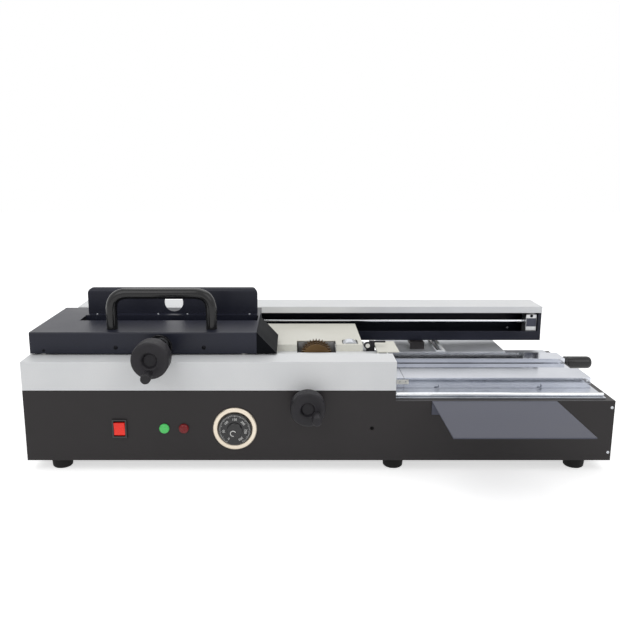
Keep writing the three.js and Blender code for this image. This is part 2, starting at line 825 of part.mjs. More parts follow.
function buildClampDrive(screwEnd) {
  const disc = turnedY(ringProfile(screwRadius + gap, bearingRadius, boxFront - gap - bearingDepth,
    boxFront - gap),
    screwX, screwZ);
  const below = block(screwX - bearingRadius - overrun, screwX + bearingRadius + overrun,
    boxFront - bearingDepth - overrun, boxFront + overrun, screwZ - bearingRadius - overrun, boxBottom);
  add("clamp_bearing", cut(disc, below), "glossBlack");

  const wheel = handWheel(wheelRadius, wheelDepth, wheelFront, screwX, screwZ, hubReach);
  const bore = roundRod("y", screwRadius + gap, wheelFront + wheelDepth / 2,
    wheelFront + wheelDepth + hubReach + overrun,
    screwX, screwZ);
  add("clamp_wheel", cut(wheel, bore), "bakelite");
  const collarBack = boxFront - gap - bearingDepth - gap;
  const screw = turnedY([
    [0, wheelFront + wheelDepth / 2 + gap], [screwRadius, wheelFront + wheelDepth / 2 + gap],
    [screwRadius, wheelFront + wheelDepth + hubReach + gap],
    [wheelHub, wheelFront + wheelDepth + hubReach + gap], [wheelHub, collarBack],
    [screwRadius, collarBack], [screwRadius, screwEnd], [0, screwEnd],
  ], screwX, screwZ);
  add("clamp_screw", screw, "chrome");
  add("clamp_crank", crankKnob(wheelFront, screwX, screwZ - crankArm), "bakelite");
}

function buildHandle() {
  const z0 = boxTop + gap;
  const z1 = boxTop + handleHeight - handleTube;
  const [x0, x1] = [handleX - handleSpan / 2, handleX + handleSpan / 2];
  const at = (x, z) => new THREE.Vector3(x, handleY, z);
  const path = new THREE.CurvePath();
  path.add(new THREE.LineCurve3(at(x0, z0), at(x0, z1 - handleBend)));
  path.add(new THREE.QuadraticBezierCurve3(at(x0, z1 - handleBend), at(x0, z1), at(x0 + handleBend, z1)));
  path.add(new THREE.LineCurve3(at(x0 + handleBend, z1), at(x1 - handleBend, z1)));
  path.add(new THREE.QuadraticBezierCurve3(at(x1 - handleBend, z1), at(x1, z1), at(x1, z1 - handleBend)));
  path.add(new THREE.LineCurve3(at(x1, z1 - handleBend), at(x1, z0)));
  const section = new THREE.Shape();
  section.absarc(0, 0, handleTube, 0, Math.PI * 2, false);
  const tube = new THREE.ExtrudeGeometry(section, { steps: handleSteps, extrudePath: path,
    curveSegments: handleSides });
  add("carry_handle", tube, "glossBlack");
}

function buildSlideArm() {
  const armBottom = boxBottom + gap * 2;
  const plate = block(armLeft, armRight, boxBack + gap, guideY + blockHalf, armBottom,
    armBottom + armThick);
  const foot = block(armLeft, armRight, boxBack + gap, boxBack + gap + armThick, armBottom, boxTop);
  const bearings = [armLeft, armRight - bearingLength].map((x) => block(x, x + bearingLength,
    guideY - blockHalf, guideY + blockHalf, guideZ - blockHalf + sheet, armBottom + armThick / 2));
  const bore = roundRod("x", guideRadius + gap, armLeft - overrun, armRight + overrun, guideY, guideZ);
  add("slide_arm", cut(join(plate, foot, ...bearings), bore), "castAluminium");
}

// Milling depth adjuster

function buildDepthDrive() {
  const wheel = handWheel(depthRadius, depthWheelDepth, depthWheelFront, depthX, depthZ, hubReach);
  const back = depthWheelFront + depthWheelDepth;
  const bore = roundRod("y", depthShaft + gap, back - hubReach, back + hubReach + overrun, depthX, depthZ);
  add("depth_wheel", cut(wheel, bore), "bakelite");
  const points = [];
  for (let i = 0; i <= camSteps; i += 1) {
    const share = i / camSteps;
    const angle = Math.PI / 2 + share * camTurn;
    const radius = camRadius - millTravel * share;
    points.push([depthX + radius * Math.cos(angle), depthZ + radius * Math.sin(angle)]);
  }
  const cam = alongY(outline(points), camY, camY + camWidth);
  const shaft = roundRod("y", depthShaft, back - hubReach + gap, camY + camWidth, depthX, depthZ);
  add("depth_cam", join(shaft, cam), "stainless");
  add("depth_crank", crankKnob(depthWheelFront, depthX + depthCrankX, depthZ - depthCrankZ), "bakelite");
}

// Guide beam

function buildBeam() {
  const y0 = beamFront + sheet + gap;
  const y1 = beamFront + beamDepth - sheet - gap;
  const top = beamTop - sheet - gap;
  const channel = outline([
    [y0, beamBottom], [y1, beamBottom], [y1, top], [y0, top], [y0, beamTop - coverLip],
    [y0 + beamWall, beamTop - coverLip], [y0 + beamWall, top - beamWall], [y1 - beamWall, top - beamWall],
    [y1 - beamWall, beamBottom + beamWall], [y0 + beamWall, beamBottom + beamWall],
    [y0 + beamWall, beamBottom + lipHeight],
    [y0, beamBottom + lipHeight],
  ]);
  add("beam_channel", alongX(channel, beamLeft, beamRight), "carriagePaint");
  const cap = outline([
    [beamFront, beamTop - coverLip], [beamFront + sheet, beamTop - coverLip],
    [beamFront + sheet, beamTop - sheet],
    [beamFront + beamDepth - sheet, beamTop - sheet], [beamFront + beamDepth - sheet, beamTop - coverLip],
    [beamFront + beamDepth, beamTop - coverLip], [beamFront + beamDepth, beamTop], [beamFront, beamTop],
  ]);
  add("beam_cover", alongX(cap, beamLeft, beamRight), "whitePaint");

  const endX = beamRight - blockInset;
  const blocks = [beamLeft + blockInset, endX - blockLength];
  blocks.forEach((x, i) => {
    const body = block(x, x + blockLength, guideY - blockHalf, guideY + blockHalf,
      beamBottom + beamWall + gap, guideZ + blockHalf + sheet);
    const bore = roundRod("x", guideRadius + gap, x - overrun, x + blockLength + overrun, guideY, guideZ);
    add(`rod_block_${i + 1}`, cut(body, bore), "castAluminium");
  });
  add("guide_rod", roundRod("x", guideRadius, blocks[0] + sheet, endX - sheet, guideY, guideZ), "chrome");
  bracketXs.forEach((x, i) => {
    const rise = alongX(outline([
      [baseDepth + gap, bracketBottom], [baseDepth + gap + bracketThick, bracketBottom],
      [baseDepth + gap + bracketThick, beamBottom - gap - bracketThick],
      [beamFront + beamDepth / 2, beamBottom - gap - bracketThick],
      [beamFront + beamDepth / 2, beamBottom - gap],
      [baseDepth + gap, beamBottom - gap],
    ]), x - bracketHalf, x + bracketHalf);
    add(`beam_bracket_${i + 1}`, rise, "blackPaint");
  });
}

// Deck, cover trays and nip station

function buildDeck() {
  const plate = block(stepX + gap, right - flangeWidth + sheet, flangeWidth - sheet * 2, baseDepth - gap,
    deckBottom, deckUpper);
  const opening = block(nipLeft - openingMargin, nipRight + openingMargin, nipFront - openingMargin,
    nipBack + openingMargin, deckBottom - overrun, deckUpper + overrun);
  add("deck_plate", cut(plate, opening), "stainless");
  add("cover_stop_rod", roundRod("x", stopRadius, stepX + gap * 2, right - flangeWidth,
    flangeWidth + stopRadius, deckUpper + gap + stopRadius), "chrome");

  const tray = alongX(outline([
    [-trayReach, deckTop - sheet], [-sheet - gap, deckTop - sheet], [-sheet - gap, deckTop - trayDrop],
    [-gap, deckTop - trayDrop], [-gap, deckTop], [-trayReach, deckTop],
  ]), trayLeft, trayRight);
  add("front_tray", tray, "trayGrey");

  const trayBottom = deckUpper + gap;
  const rear = block(rearTrayLeft, trayRight, baseDepth - trayDrop, rearTrayBack, trayBottom,
    trayBottom + sheet);
  const notch = block(bracketXs[1] - bracketHalf - gap * 2, bracketXs[1] + bracketHalf + gap * 2,
    baseDepth - gap * 2, baseDepth + gap * 2 + bracketThick, trayBottom - overrun,
    trayBottom + sheet + overrun);
  add("rear_tray", cut(rear, notch), "stainless");
  const guideTop = trayBottom + sheet + gap;
  const bars = [0, guideSpread].map((dx) => block(guideBarX + dx, guideBarX + dx + guideBar,
    baseDepth - trayDrop + sheet, rearTrayBack - sheet * 2, guideTop, guideTop + guideBar / 2));
  const ties = [baseDepth - trayDrop + sheet, rearTrayBack - sheet * 2 - guideBar].map((y) =>
    block(guideBarX, guideBarX + guideSpread + guideBar, y, y + guideBar, guideTop, guideTop + sheet));
  add("lay_guide", join(...bars, ...ties), "stainless");
}

function buildNip() {
  const platformBack = nipBack - rearBarDepth - sheet;
  const platformFront = nipFront + frontBarDepth + sheet;
  const tableBottom = tableTop - tableThick;
  const barBottom = tableTop + gap;
  const table = block(nipLeft, nipRight, nipFront, nipBack, tableBottom, tableTop);
  const legs = [nipLeft + sheet, nipRight - sheet - barBody].map((x) => block(x, x + barBody,
    platformFront, platformBack, tableTop - sheet, platformTop));
  const platform = block(nipLeft + sheet, nipRight - sheet, platformFront, platformBack,
    platformTop - platformThick, platformTop);
  const yokeBottom = leverZ - crankPin + pushRadius + gap * 5;
  const yokes = yokeXs.map((x) => block(x, x + yokeWidth, crankEnd + sheet, crankEnd + sheet + yokeDepth,
    yokeBottom, tableBottom + sheet));
  const columns = columnXs.map((x) =>
    roundRod("z", columnRadius, footHeight + sheet * 3, tableBottom + sheet, x, columnY));
  add("nip_table", join(table, ...legs, platform, ...yokes, ...columns), "stainless");

  const grooveZ = (barBottom + barTop) / 2;
  const rodZ = tableTop + gap * 3 + rodRadius;
  const rearFace = nipBack - rearBarDepth;
  const rear = alongX(outline([
    [rearFace, platformTop + gap * 3], [rearFace, barTop], [nipBack, barTop], [nipBack, barBottom],
    [nipBack - barBody, barBottom], [nipBack - barBody, platformTop + gap * 3],
  ]), nipLeft, nipRight);
  const rods = rodXs.map((x) =>
    roundRod("y", rodRadius, nipFront + sheet * 2, nipBack - barBody + sheet, x, rodZ));
  add("rear_nip_bar", join(rear, ...rods), "chrome");

  const frontBack = nipFront + frontBarDepth;
  const front = alongX(outline([
    [nipFront, barBottom], [nipFront + barBody, barBottom], [nipFront + barBody, platformTop + gap * 3],
    [frontBack, platformTop + gap * 3], [frontBack, barTop], [nipFront, barTop],
    [nipFront, grooveZ + groove / 2], [nipFront + groove, grooveZ + groove / 2],
    [nipFront + groove, grooveZ - groove / 2], [nipFront, grooveZ - groove / 2],
  ]), nipLeft, nipRight);
  const bores = rodXs.map((x) =>
    roundRod("y", rodRadius + gap, nipFront - overrun, frontBack + overrun, x, rodZ));
  add("front_nip_bar", cut(front, ...bores), "chrome");

  // The bars end short of the cream drip plate, which they pass on their way up.
  const endRight = nipLeft - gap;
  const endBottom = deckUpper + gap;
  const endBlocks = [[nipFront, frontBack], [rearFace, nipBack]].map(([y0, y1]) =>
    block(endBlockLeft, endRight, y0, y1, endBottom, barTop));
  const tie = block(endBlockLeft, endRight, nipFront + sheet, nipBack - sheet, endBottom,
    endBottom + sheet);
  add("nip_end_block", join(...endBlocks, tie), "chrome");
  const stopLeft = endBlockLeft + sheet / 2;
  const stopPlate = block(stopLeft, stopLeft + stopLength, nipFront - gap - sheet, nipFront - gap,
    grooveZ - sheet / 2, barTop - sheet * 2);
  const stopHoles = [1, 3].map((quarter) => roundRod("y", groove, nipFront - sheet - overrun,
    nipFront + overrun, stopLeft + (stopLength * quarter) / 4, (grooveZ + barTop) / 2 - sheet));
  add("nip_bar_stop", cut(stopPlate, ...stopHoles), "nylon");
}

function buildLever() {
  const armX = right + gap * 2;
  const shaft = roundRod("x", columnRadius, yokeXs[0] - sheet, armX + leverThick / 2, leverY, leverZ);
  const cranks = yokeXs.map((x) => leverArm(x + sheet, x + yokeWidth - sheet, crankEnd, leverZ - crankPin));
  const outer = leverArm(armX, armX + leverThick, gripY, gripZ);
  add("lever_shaft", join(shaft, ...cranks, outer), "stainless");
  const x0 = armX + leverThick + gap;
  const x1 = x0 + gripLength;
  const edge = gripRadius / 3;
  add("lever_grip", turnedX([
    [0, x0], [gripRadius - edge / 2, x0], [gripRadius, x0 + edge / 2], [gripRadius, x1 - edge],
    [gripRadius - edge / 3, x1 - edge / 3], [gripRadius - edge, x1], [0, x1],
  ], gripY, gripZ), "rubber");
}

// A flat arm with round ends, from the lever shaft to a far pin.
function leverArm(x0, x1, y, z) {
  const reach = Math.hypot(y - leverY, z - leverZ);
  const tilt = Math.atan2(z - leverZ, y - leverY);
  const shape = new THREE.Shape();
  shape.absarc(0, 0, pivotBoss, Math.PI / 2, (Math.PI * 3) / 2, false);
  shape.absarc(reach, 0, pushRadius, -Math.PI / 2, Math.PI / 2, false);
  const arm = alongX(shape, x0, x1);
  return arm.rotateX(tilt).translate(0, leverY, leverZ);
}

// Panel fittings

function buildFittings() {
  const [w, h] = [rockerWidth / 2, rockerHeight / 2];
  const rim = block(rockerX - w, rockerX + w, -gap - bezelDepth, -gap, panelZ - h, panelZ + h);
  const body = block(rockerX - w + sheet + gap, rockerX + w - sheet - gap, -gap - bezelDepth / 2,
    fittingDepth, panelZ - h + sheet + gap, panelZ + h - sheet - gap);
  const pocket = block(rockerX - w + rockerRim, rockerX + w - rockerRim, -gap - bezelDepth - overrun,
    fittingDepth / 2, panelZ - h + rockerRim, panelZ + h - rockerRim);
  add("rocker_bezel", cut(join(rim, body), pocket), "glossBlack");
  const tall = h - rockerRim - sheet;
  const front = -gap - bezelDepth;
  const button = new THREE.Shape();
  button.moveTo(front, panelZ - tall);
  button.quadraticCurveTo(front + bezelDepth / 2, panelZ, front - bezelDepth, panelZ + tall);
  button.lineTo(fittingDepth / 4, panelZ + tall - rockerRim);
  button.lineTo(fittingDepth / 4, panelZ - tall + rockerRim);
  add("rocker_button", alongX(button, rockerX - w + rockerRim + gap, rockerX + w - rockerRim - gap),
    "redLens");

  for (const [name, x, finish] of [["lamp_green", greenX, "greenLens"], ["lamp_red", redX, "redLens"]]) {
    add(name, turnedY([
      [0, -bezelDepth * 2], [lampTip, -lampHeight], [lampDome, -bezelDepth],
      [lampRadius, -bezelDepth], [lampRadius, -gap], [lampRadius - sheet - gap, -gap],
      [lampRadius - sheet - gap, fittingDepth], [0, fittingDepth],
    ], x, panelZ), finish);
  }

  const bezel = turnedY([
    [spindleRadius + gap, -gap], [bezelRadius, -gap], [bezelRadius, -gap - bezelPlate / 2],
    [bezelRadius - sheet, -gap - bezelPlate], [dialRadius + sheet, -gap - bezelPlate],
    [dialRadius + gap, -gap - bezelPlate / 2], [spindleRadius + gap, -gap - bezelPlate / 2],
    [spindleRadius + gap, -gap],
  ], dialX, panelZ, fineSteps);
  add("dial_bezel", bezel, "chrome");
  const skirtBack = -gap * 2 - bezelPlate / 2;
  const skirt = turnedY([
    [0, skirtBack - knobHeight], [knobRadius - sheet, skirtBack - knobHeight],
    [knobRadius, skirtBack - knobHeight + sheet], [knobRadius, skirtBack - skirtDepth],
    [dialRadius - sheet, skirtBack - skirtDepth], [dialRadius, skirtBack - skirtDepth / 2],
    [dialRadius, skirtBack], [spindleRadius, skirtBack], [spindleRadius, fittingDepth / 2],
    [0, fittingDepth / 2],
  ], dialX, panelZ, fineSteps);
  add("dial_knob", skirt, "glossBlack");
}

buildChassis();
buildPanels();
buildInlet();
buildFeet();
buildCovers();
buildMill();
buildGlue();
buildCarriageBox();
buildEndGuard();
buildRearJaw();
const screwEnd = buildFrontJaw();
buildClampDrive(screwEnd);
buildHandle();
buildSlideArm();
buildDepthDrive();
buildBeam();
buildDeck();
buildNip();
buildLever();
buildFittings();

// The finished part stands on the origin, at the middle of its footprint.
const extent = new THREE.Box3().setFromObject(machine);
const middle = extent.getCenter(new THREE.Vector3());
machine.position.set(-middle.x, -middle.y, -extent.min.z);
machine.updateMatrixWorld(true);

export default machine;
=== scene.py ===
import json
import logging
import math
from dataclasses import dataclass
from enum import Enum
from typing import Any, Iterable, Sequence

import bmesh
import bpy
from mathutils import Matrix, Vector

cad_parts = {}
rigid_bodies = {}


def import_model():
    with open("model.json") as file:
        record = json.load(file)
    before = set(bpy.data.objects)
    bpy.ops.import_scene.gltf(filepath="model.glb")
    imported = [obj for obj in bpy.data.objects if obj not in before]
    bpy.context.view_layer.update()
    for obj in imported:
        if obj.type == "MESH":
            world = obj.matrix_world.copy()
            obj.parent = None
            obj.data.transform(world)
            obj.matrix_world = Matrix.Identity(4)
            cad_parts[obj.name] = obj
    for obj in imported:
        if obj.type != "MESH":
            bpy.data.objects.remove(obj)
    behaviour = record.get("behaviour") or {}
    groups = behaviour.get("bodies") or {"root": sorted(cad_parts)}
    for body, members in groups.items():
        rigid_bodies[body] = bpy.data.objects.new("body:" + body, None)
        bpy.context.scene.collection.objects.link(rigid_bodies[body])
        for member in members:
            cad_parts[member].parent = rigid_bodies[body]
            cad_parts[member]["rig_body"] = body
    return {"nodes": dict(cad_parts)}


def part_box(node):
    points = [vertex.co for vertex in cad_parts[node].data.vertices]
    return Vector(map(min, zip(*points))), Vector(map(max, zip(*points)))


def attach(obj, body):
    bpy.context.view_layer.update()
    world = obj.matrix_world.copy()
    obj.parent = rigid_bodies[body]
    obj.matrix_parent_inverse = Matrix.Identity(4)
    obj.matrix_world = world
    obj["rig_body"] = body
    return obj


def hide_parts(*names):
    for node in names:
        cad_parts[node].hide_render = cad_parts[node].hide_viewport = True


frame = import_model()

log = logging.getLogger("binding_machine")

MM = 0.001
TINY = 1e-6
# The most of an edge that the rounding of one corner may take.
CORNER_SHARE = 0.45
Point = Sequence[float]
Profile = list[tuple[float, float]]


class Axis(Enum):
    """The axis that a turned piece is turned about."""

    X = 0
    Y = 1
    Z = 2


class Facing(Enum):
    """The way a screw's head looks, as the turn that takes +Z there."""

    FRONT = (math.pi / 2, 0.0, 0.0)
    BACK = (-math.pi / 2, 0.0, 0.0)
    RIGHT = (0.0, math.pi / 2, 0.0)
    UP = (0.0, 0.0, 0.0)


# Small makers


def linear(code: str) -> tuple[float, float, float, float]:
    """Turns an sRGB hex colour into the linear colour that shaders read.

    Args:
        code: Six hex digits.

    Returns:
        Linear red, green and blue, and an alpha of 1.
    """
    shares = [int(code[i : i + 2], 16) / 255 for i in (0, 2, 4)]
    red, green, blue = (
        s / 12.92 if s <= 0.04045 else ((s + 0.055) / 1.055) ** 2.4 for s in shares
    )
    return red, green, blue, 1.0


def put(
    tree: bpy.types.NodeTree, kind: str, inputs: dict | None = None, **settings: Any
) -> bpy.types.Node:
    """Adds one node with its settings, values and links.

    Args:
        tree: The tree that gets the node.
        kind: The node's type in Blender.
        inputs: Socket name or number, to its value or to the output that feeds it.
        **settings: The node's own properties.

    Returns:
        The new node.
    """
    made = tree.nodes.new(kind)
    for name, value in settings.items():
        setattr(made, name, value)
    for key, value in (inputs or {}).items():
        if isinstance(value, bpy.types.NodeSocket):
            tree.links.new(value, made.inputs[key])
        else:
            made.inputs[key].default_value = value
    return made


def close(shell: bmesh.types.BMesh, name: str) -> bpy.types.Mesh:
    """Turns a shell into a mesh and frees the shell.

    Args:
        shell: The shell.
        name: The mesh's name.

    Returns:
        The mesh.
    """
    mesh = bpy.data.meshes.new(name)
    shell.to_mesh(mesh)
    shell.free()
    return mesh


def hang(name: str, data: Any) -> bpy.types.Object:
    """Adds an object to the scene.

    Args:
        name: The object's name.
        data: Its mesh, curve, light or camera.

    Returns:
        The object.
    """
    holder = bpy.data.objects.new(name, data)
    bpy.context.scene.collection.objects.link(holder)
    return holder


def flatten(holder: bpy.types.Object) -> bpy.types.Mesh:
    """Takes the mesh that an object comes out as, and removes the object.

    Args:
        holder: An object with a modifier, or a line of type.

    Returns:
        The plain mesh.
    """
    graph = bpy.context.evaluated_depsgraph_get()
    mesh = bpy.data.meshes.new_from_object(holder.evaluated_get(graph))
    holder.modifiers.clear()
    bpy.data.objects.remove(holder)
    return mesh


# Finishes


@dataclass(frozen=True)
class Finish:
    """A surface: what it is made of, its colour and how fine its texture is.

    The grain is its texture's real size in millimetres, the relief the height of that
    texture, and the patch the size of its broad and faint changes of tint.
    """

    name: str
    colour: str
    second: str
    roughness: float
    spread: float = 0.06
    grain: float = 1.0
    relief: float = 0.02
    patch: float = 90.0

    def stretch(self) -> tuple[float, float, float]:
        """Returns how the grain is drawn out along each axis."""
        return 1.0, 1.0, 1.0

    def shading(self) -> dict[str, Any]:
        """Returns the shader's own values; a plain finish has none."""
        return {}

    def material(self) -> bpy.types.Material:
        """Builds the material once, and hands the same one out again.

        Returns:
            The material that pieces of this finish share.
        """
        found = bpy.data.materials.get(self.name)
        if found:
            return found
        made = bpy.data.materials.new(self.name)
        made.use_nodes = True
        tree = made.node_tree
        tree.nodes.clear()
        place = put(tree, "ShaderNodeTexCoord").outputs["Object"]
        drawing = {"Vector": place, "Scale": self.stretch()}
        drawn = put(tree, "ShaderNodeMapping", drawing).outputs["Vector"]
        grain = {"Vector": drawn, "Scale": 1 / (self.grain * MM), "Detail": 3.0}
        fine = put(tree, "ShaderNodeTexNoise", grain).outputs["Fac"]
        patches = {"Vector": place, "Scale": 1 / (self.patch * MM), "Detail": 2.0}
        broad = put(tree, "ShaderNodeTexNoise", patches).outputs["Fac"]
        product = {0: fine, 1: broad}
        both = put(tree, "ShaderNodeMath", product, operation="MULTIPLY").outputs[0]
        # Two noises that lie mostly between 0.35 and 0.65 multiply to this range.
        spread = {"Value": both, "From Min": 0.12, "From Max": 0.42}
        share = put(tree, "ShaderNodeMapRange", spread).outputs["Result"]
        ends = {"Factor": share, 6: linear(self.colour), 7: linear(self.second)}
        tint = put(tree, "ShaderNodeMix", ends, data_type="RGBA").outputs[2]
        smooth = max(0.02, self.roughness - self.spread)
        rough = min(1.0, self.roughness + self.spread)
        wear = {"Value": share, "To Min": smooth, "To Max": rough}
        gloss = put(tree, "ShaderNodeMapRange", wear).outputs["Result"]
        relief = {"Height": fine, "Strength": 0.5, "Distance": self.relief * MM}
        bump = put(tree, "ShaderNodeBump", relief).outputs["Normal"]
        surface = {"Base Color": tint, "Roughness": gloss, "Normal": bump, **self.shading()}
        shader = put(tree, "ShaderNodeBsdfPrincipled", surface).outputs["BSDF"]
        put(tree, "ShaderNodeOutputMaterial", {"Surface": shader})
        return made


@dataclass(frozen=True)
class PowderCoat(Finish):
    """Stoved powder paint on steel sheet: orange peel and a soft, even sheen."""

    coat: float = 0.04
    sheen: float = 0.28

    def shading(self) -> dict[str, Any]:
        """Returns what gives the paint its clear, slightly glossy skin."""
        return {
            "IOR": 1.5,
            "Specular IOR Level": self.sheen,
            "Coat Weight": self.coat,
            "Coat Roughness": 0.25,
        }


@dataclass(frozen=True)
class BrushedMetal(Finish):
    """Bare metal drawn over a belt: fine streaks along its length."""

    streak: float = 60.0

    def stretch(self) -> tuple[float, float, float]:
        """Returns streaks far longer along X than across it."""
        return 1 / self.streak, 1.0, 1.0

    def shading(self) -> dict[str, Any]:
        """Returns what makes it metal, with the sideways gleam that brushing leaves."""
        return {"Metallic": 1.0, "Anisotropic": 0.35}


@dataclass(frozen=True)
class PlainMetal(Finish):
    """Cast, turned or plated metal, with the same grain every way."""

    def shading(self) -> dict[str, Any]:
        """Returns what makes the surface metal."""
        return {"Metallic": 1.0}


@dataclass(frozen=True)
class Moulded(Finish):
    """Moulded plastic or rubber, with the mould's own grain."""

    coat: float = 0.0
    sheen: float = 0.3

    def shading(self) -> dict[str, Any]:
        """Returns the plastic's refraction and any polish."""
        return {
            "IOR": 1.5,
            "Specular IOR Level": self.sheen,
            "Coat Weight": self.coat,
            "Coat Roughness": 0.08,
        }


@dataclass(frozen=True)
class Lens(Finish):
    """Tinted clear plastic over a lamp, lit faintly from behind."""

    glow: float = 0.0

    def shading(self) -> dict[str, Any]:
        """Returns what lets light into the plastic and lights it from behind."""
        return {
            "IOR": 1.49,
            "Subsurface Weight": 0.4,
            "Subsurface Radius": (0.004, 0.002, 0.002),
            "Specular IOR Level": 0.35,
            "Emission Color": linear(self.colour),
            "Emission Strength": self.glow,
        }


# Stoved black paint on the base and the beam's brackets: brown-black, with a low sheen.
BLACK_PAINT = PowderCoat("stoved_black_paint", "242122", "2b2829", 0.46, grain=1.2)
# Stoved white paint on the covers and the lay guide, faintly grey in the shade.
WHITE_PAINT = PowderCoat("stoved_white_paint", "e8eaec", "f2f3f4", 0.42, grain=1.2)
# The same white where warm glue vapour has yellowed it over the well.
CREAM_PAINT = PowderCoat("yellowed_white_paint", "e6e4d8", "f0efe6", 0.45, grain=1.4)
# Stoved blue-black paint on the carriage and the beam.
CARRIAGE_PAINT = PowderCoat("stoved_blue_black_paint", "1a1c28", "222432", 0.38)
# Painted shade: the end guard is painted near black, darker than the carriage's blue-black, and gives back
# almost no light, which stands in for the shade on that end.
SHADED_GUARD_PAINT = PowderCoat("guard_paint_painted_shade", "0d0e11", "131519", 0.6, coat=0.0, sheen=0.05)
# Matt blue-grey paint on the front tray and on the pads of the rod's blocks.
TRAY_PAINT = PowderCoat("stoved_grey_paint", "4c4e5b", "575966", 0.5, grain=0.9, coat=0.0)
# Stainless sheet brushed lengthways: fine streaks and a wide gleam.
STAINLESS = BrushedMetal("brushed_stainless", "b4b7be", "d0d3d8", 0.3, 0.06, grain=0.5, relief=0.004)
# Painted reflection: the rear tray's stainless is tinted brighter than the deck's sheet, and its broad
# pale patches are painted gleam.
GLEAM_PAINTED_SHEET = BrushedMetal(
    "stainless_with_painted_gleam", "d0d3d8", "eceef2", 0.46, 0.06, grain=0.5, relief=0.004, patch=60.0
)
# Turned and ground steel, with no run to its grain.
TURNED_STEEL = PlainMetal("turned_steel", "b4b7bc", "c8cbd0", 0.24, 0.05, grain=0.4)
# Chromium plate over ground steel: a near mirror, with faint hand marks.
CHROME = PlainMetal("chromium_plate", "d8dadd", "e8eaec", 0.1, 0.05, grain=3.0, relief=0.002)
# Heat-tinted tool steel: straw to bronze.
TOOL_STEEL = PlainMetal("tempered_tool_steel", "5a4630", "8a6f4c", 0.38, 0.08, grain=0.7)
# Sand-cast and machined aluminium: grey and finely pitted.
CAST_ALUMINIUM = PlainMetal("cast_aluminium", "8e9093", "a9abad", 0.5, 0.1, grain=0.9, relief=0.06)
# Thermoset moulding of the hand wheels, cranks and scraper: a coarse eroded grain,
# drawn at 0.9 mm so that it shows.
THERMOSET = Moulded("grained_thermoset", "171619", "28262b", 0.52, 0.1, grain=0.9, relief=0.12, patch=14.0)
# Polished black plastic: a hard, clean reflection.
GLOSS_BLACK = Moulded("polished_black_plastic", "0c0c0e", "141417", 0.16, 0.04, relief=0.004, coat=0.5)
# Moulded rubber, dull and slightly dusty.
RUBBER = Moulded("moulded_rubber", "121212", "1e1d1d", 0.78, 0.08, grain=0.7, relief=0.05)
# Chemically blackened screws: dark, with a dull metal sheen.
BLACKED_STEEL = PlainMetal("blackened_steel", "19191c", "26262a", 0.36, 0.06, grain=0.6)
# Satin black tube for the handle, its gloss changing slightly from place to place.
SATIN_BLACK = Moulded("satin_black_tube", "09090b", "0f0f12", 0.24, 0.05, relief=0.004, coat=0.2)
# Ground steel of the nip table and its bars: even grey, with a soft mirror along them.
GROUND_STEEL = BrushedMetal("ground_nip_steel", "bcbfc8", "d4d7de", 0.13, 0.03, grain=0.5, relief=0.002)
# Satin nickel ring round the dial, gone warm with age.
DIAL_RING = PlainMetal("satin_nickel_ring", "d6cab8", "e2d8c8", 0.4, 0.05, grain=0.6)
# Hard black plastic grip on the lever.
GRIP_PLASTIC = Moulded("lever_grip_plastic", "101012", "1b1b1e", 0.3, coat=0.3)
# Natural nylon, turned from bar.
NYLON = Moulded("turned_nylon", "e8e6de", "f3f2ec", 0.5, grain=0.8)
# White filling in the dial's marks.
MARK_WHITE = Moulded("white_marking_paint", "e9e9e6", "f4f4f2", 0.5, grain=0.3, relief=0.005)
# Red and green lenses of tinted clear plastic.
RED_LENS = Lens("red_lens_plastic", "c81e16", "e03a28", 0.2, grain=1.5, glow=0.55)
DARK_RED_LENS = Lens("dark_red_lens_plastic", "780810", "941018", 0.22, grain=1.5, glow=0.06)
GREEN_LENS = Lens("green_lens_plastic", "46b25a", "70d482", 0.2, grain=1.5, glow=0.42)


# Repeats and paths


class Pattern:
    """A Geometry Nodes tree with named inputs, run once into a plain mesh."""

    KINDS = {float: "NodeSocketFloat", int: "NodeSocketInt", tuple: "NodeSocketVector"}

    def __init__(self, name: str, **sizes: Any) -> None:
        """Starts the tree and gives it one input for each size.

        Args:
            name: The tree's name.
            **sizes: Input name to value, with lengths in metres.
        """
        self.tree = bpy.data.node_groups.new(name, "GeometryNodeTree")
        self.sizes = sizes
        shape = "NodeSocketGeometry"
        self.tree.interface.new_socket("Geometry", in_out="INPUT", socket_type=shape)
        self.tree.interface.new_socket("Geometry", in_out="OUTPUT", socket_type=shape)
        for key, value in sizes.items():
            kind = self.KINDS[type(value)]
            self.tree.interface.new_socket(key, in_out="INPUT", socket_type=kind)
        self.given = put(self.tree, "NodeGroupInput").outputs

    def add(self, kind: str, inputs: dict | None = None, **settings: Any) -> Any:
        """Adds a node and returns its first output.

        Args:
            kind: The node's type in Blender.
            inputs: Values and outputs for its sockets.
            **settings: The node's own properties.

        Returns:
            The first output socket.
        """
        return put(self.tree, kind, inputs, **settings).outputs[0]

    def run(self, result: Any, seed: bpy.types.Mesh, finish: Finish) -> bpy.types.Mesh:
        """Closes the tree and turns its result into a mesh.

        Args:
            result: The output that holds the finished geometry.
            seed: The mesh that the tree starts from.
            finish: The finish that the tree sets.

        Returns:
            The realized mesh.
        """
        real = self.add("GeometryNodeRealizeInstances", {0: result})
        coated = self.add(
            "GeometryNodeSetMaterial", {0: real, "Material": finish.material()}
        )
        put(self.tree, "NodeGroupOutput", {0: coated})
        holder = hang(self.tree.name, seed)
        modifier = holder.modifiers.new(self.tree.name, "NODES")
        modifier.node_group = self.tree
        for item in self.tree.interface.items_tree:
            if item.in_out == "INPUT" and item.name in self.sizes:
                modifier[item.identifier] = self.sizes[item.name]
        return flatten(holder)


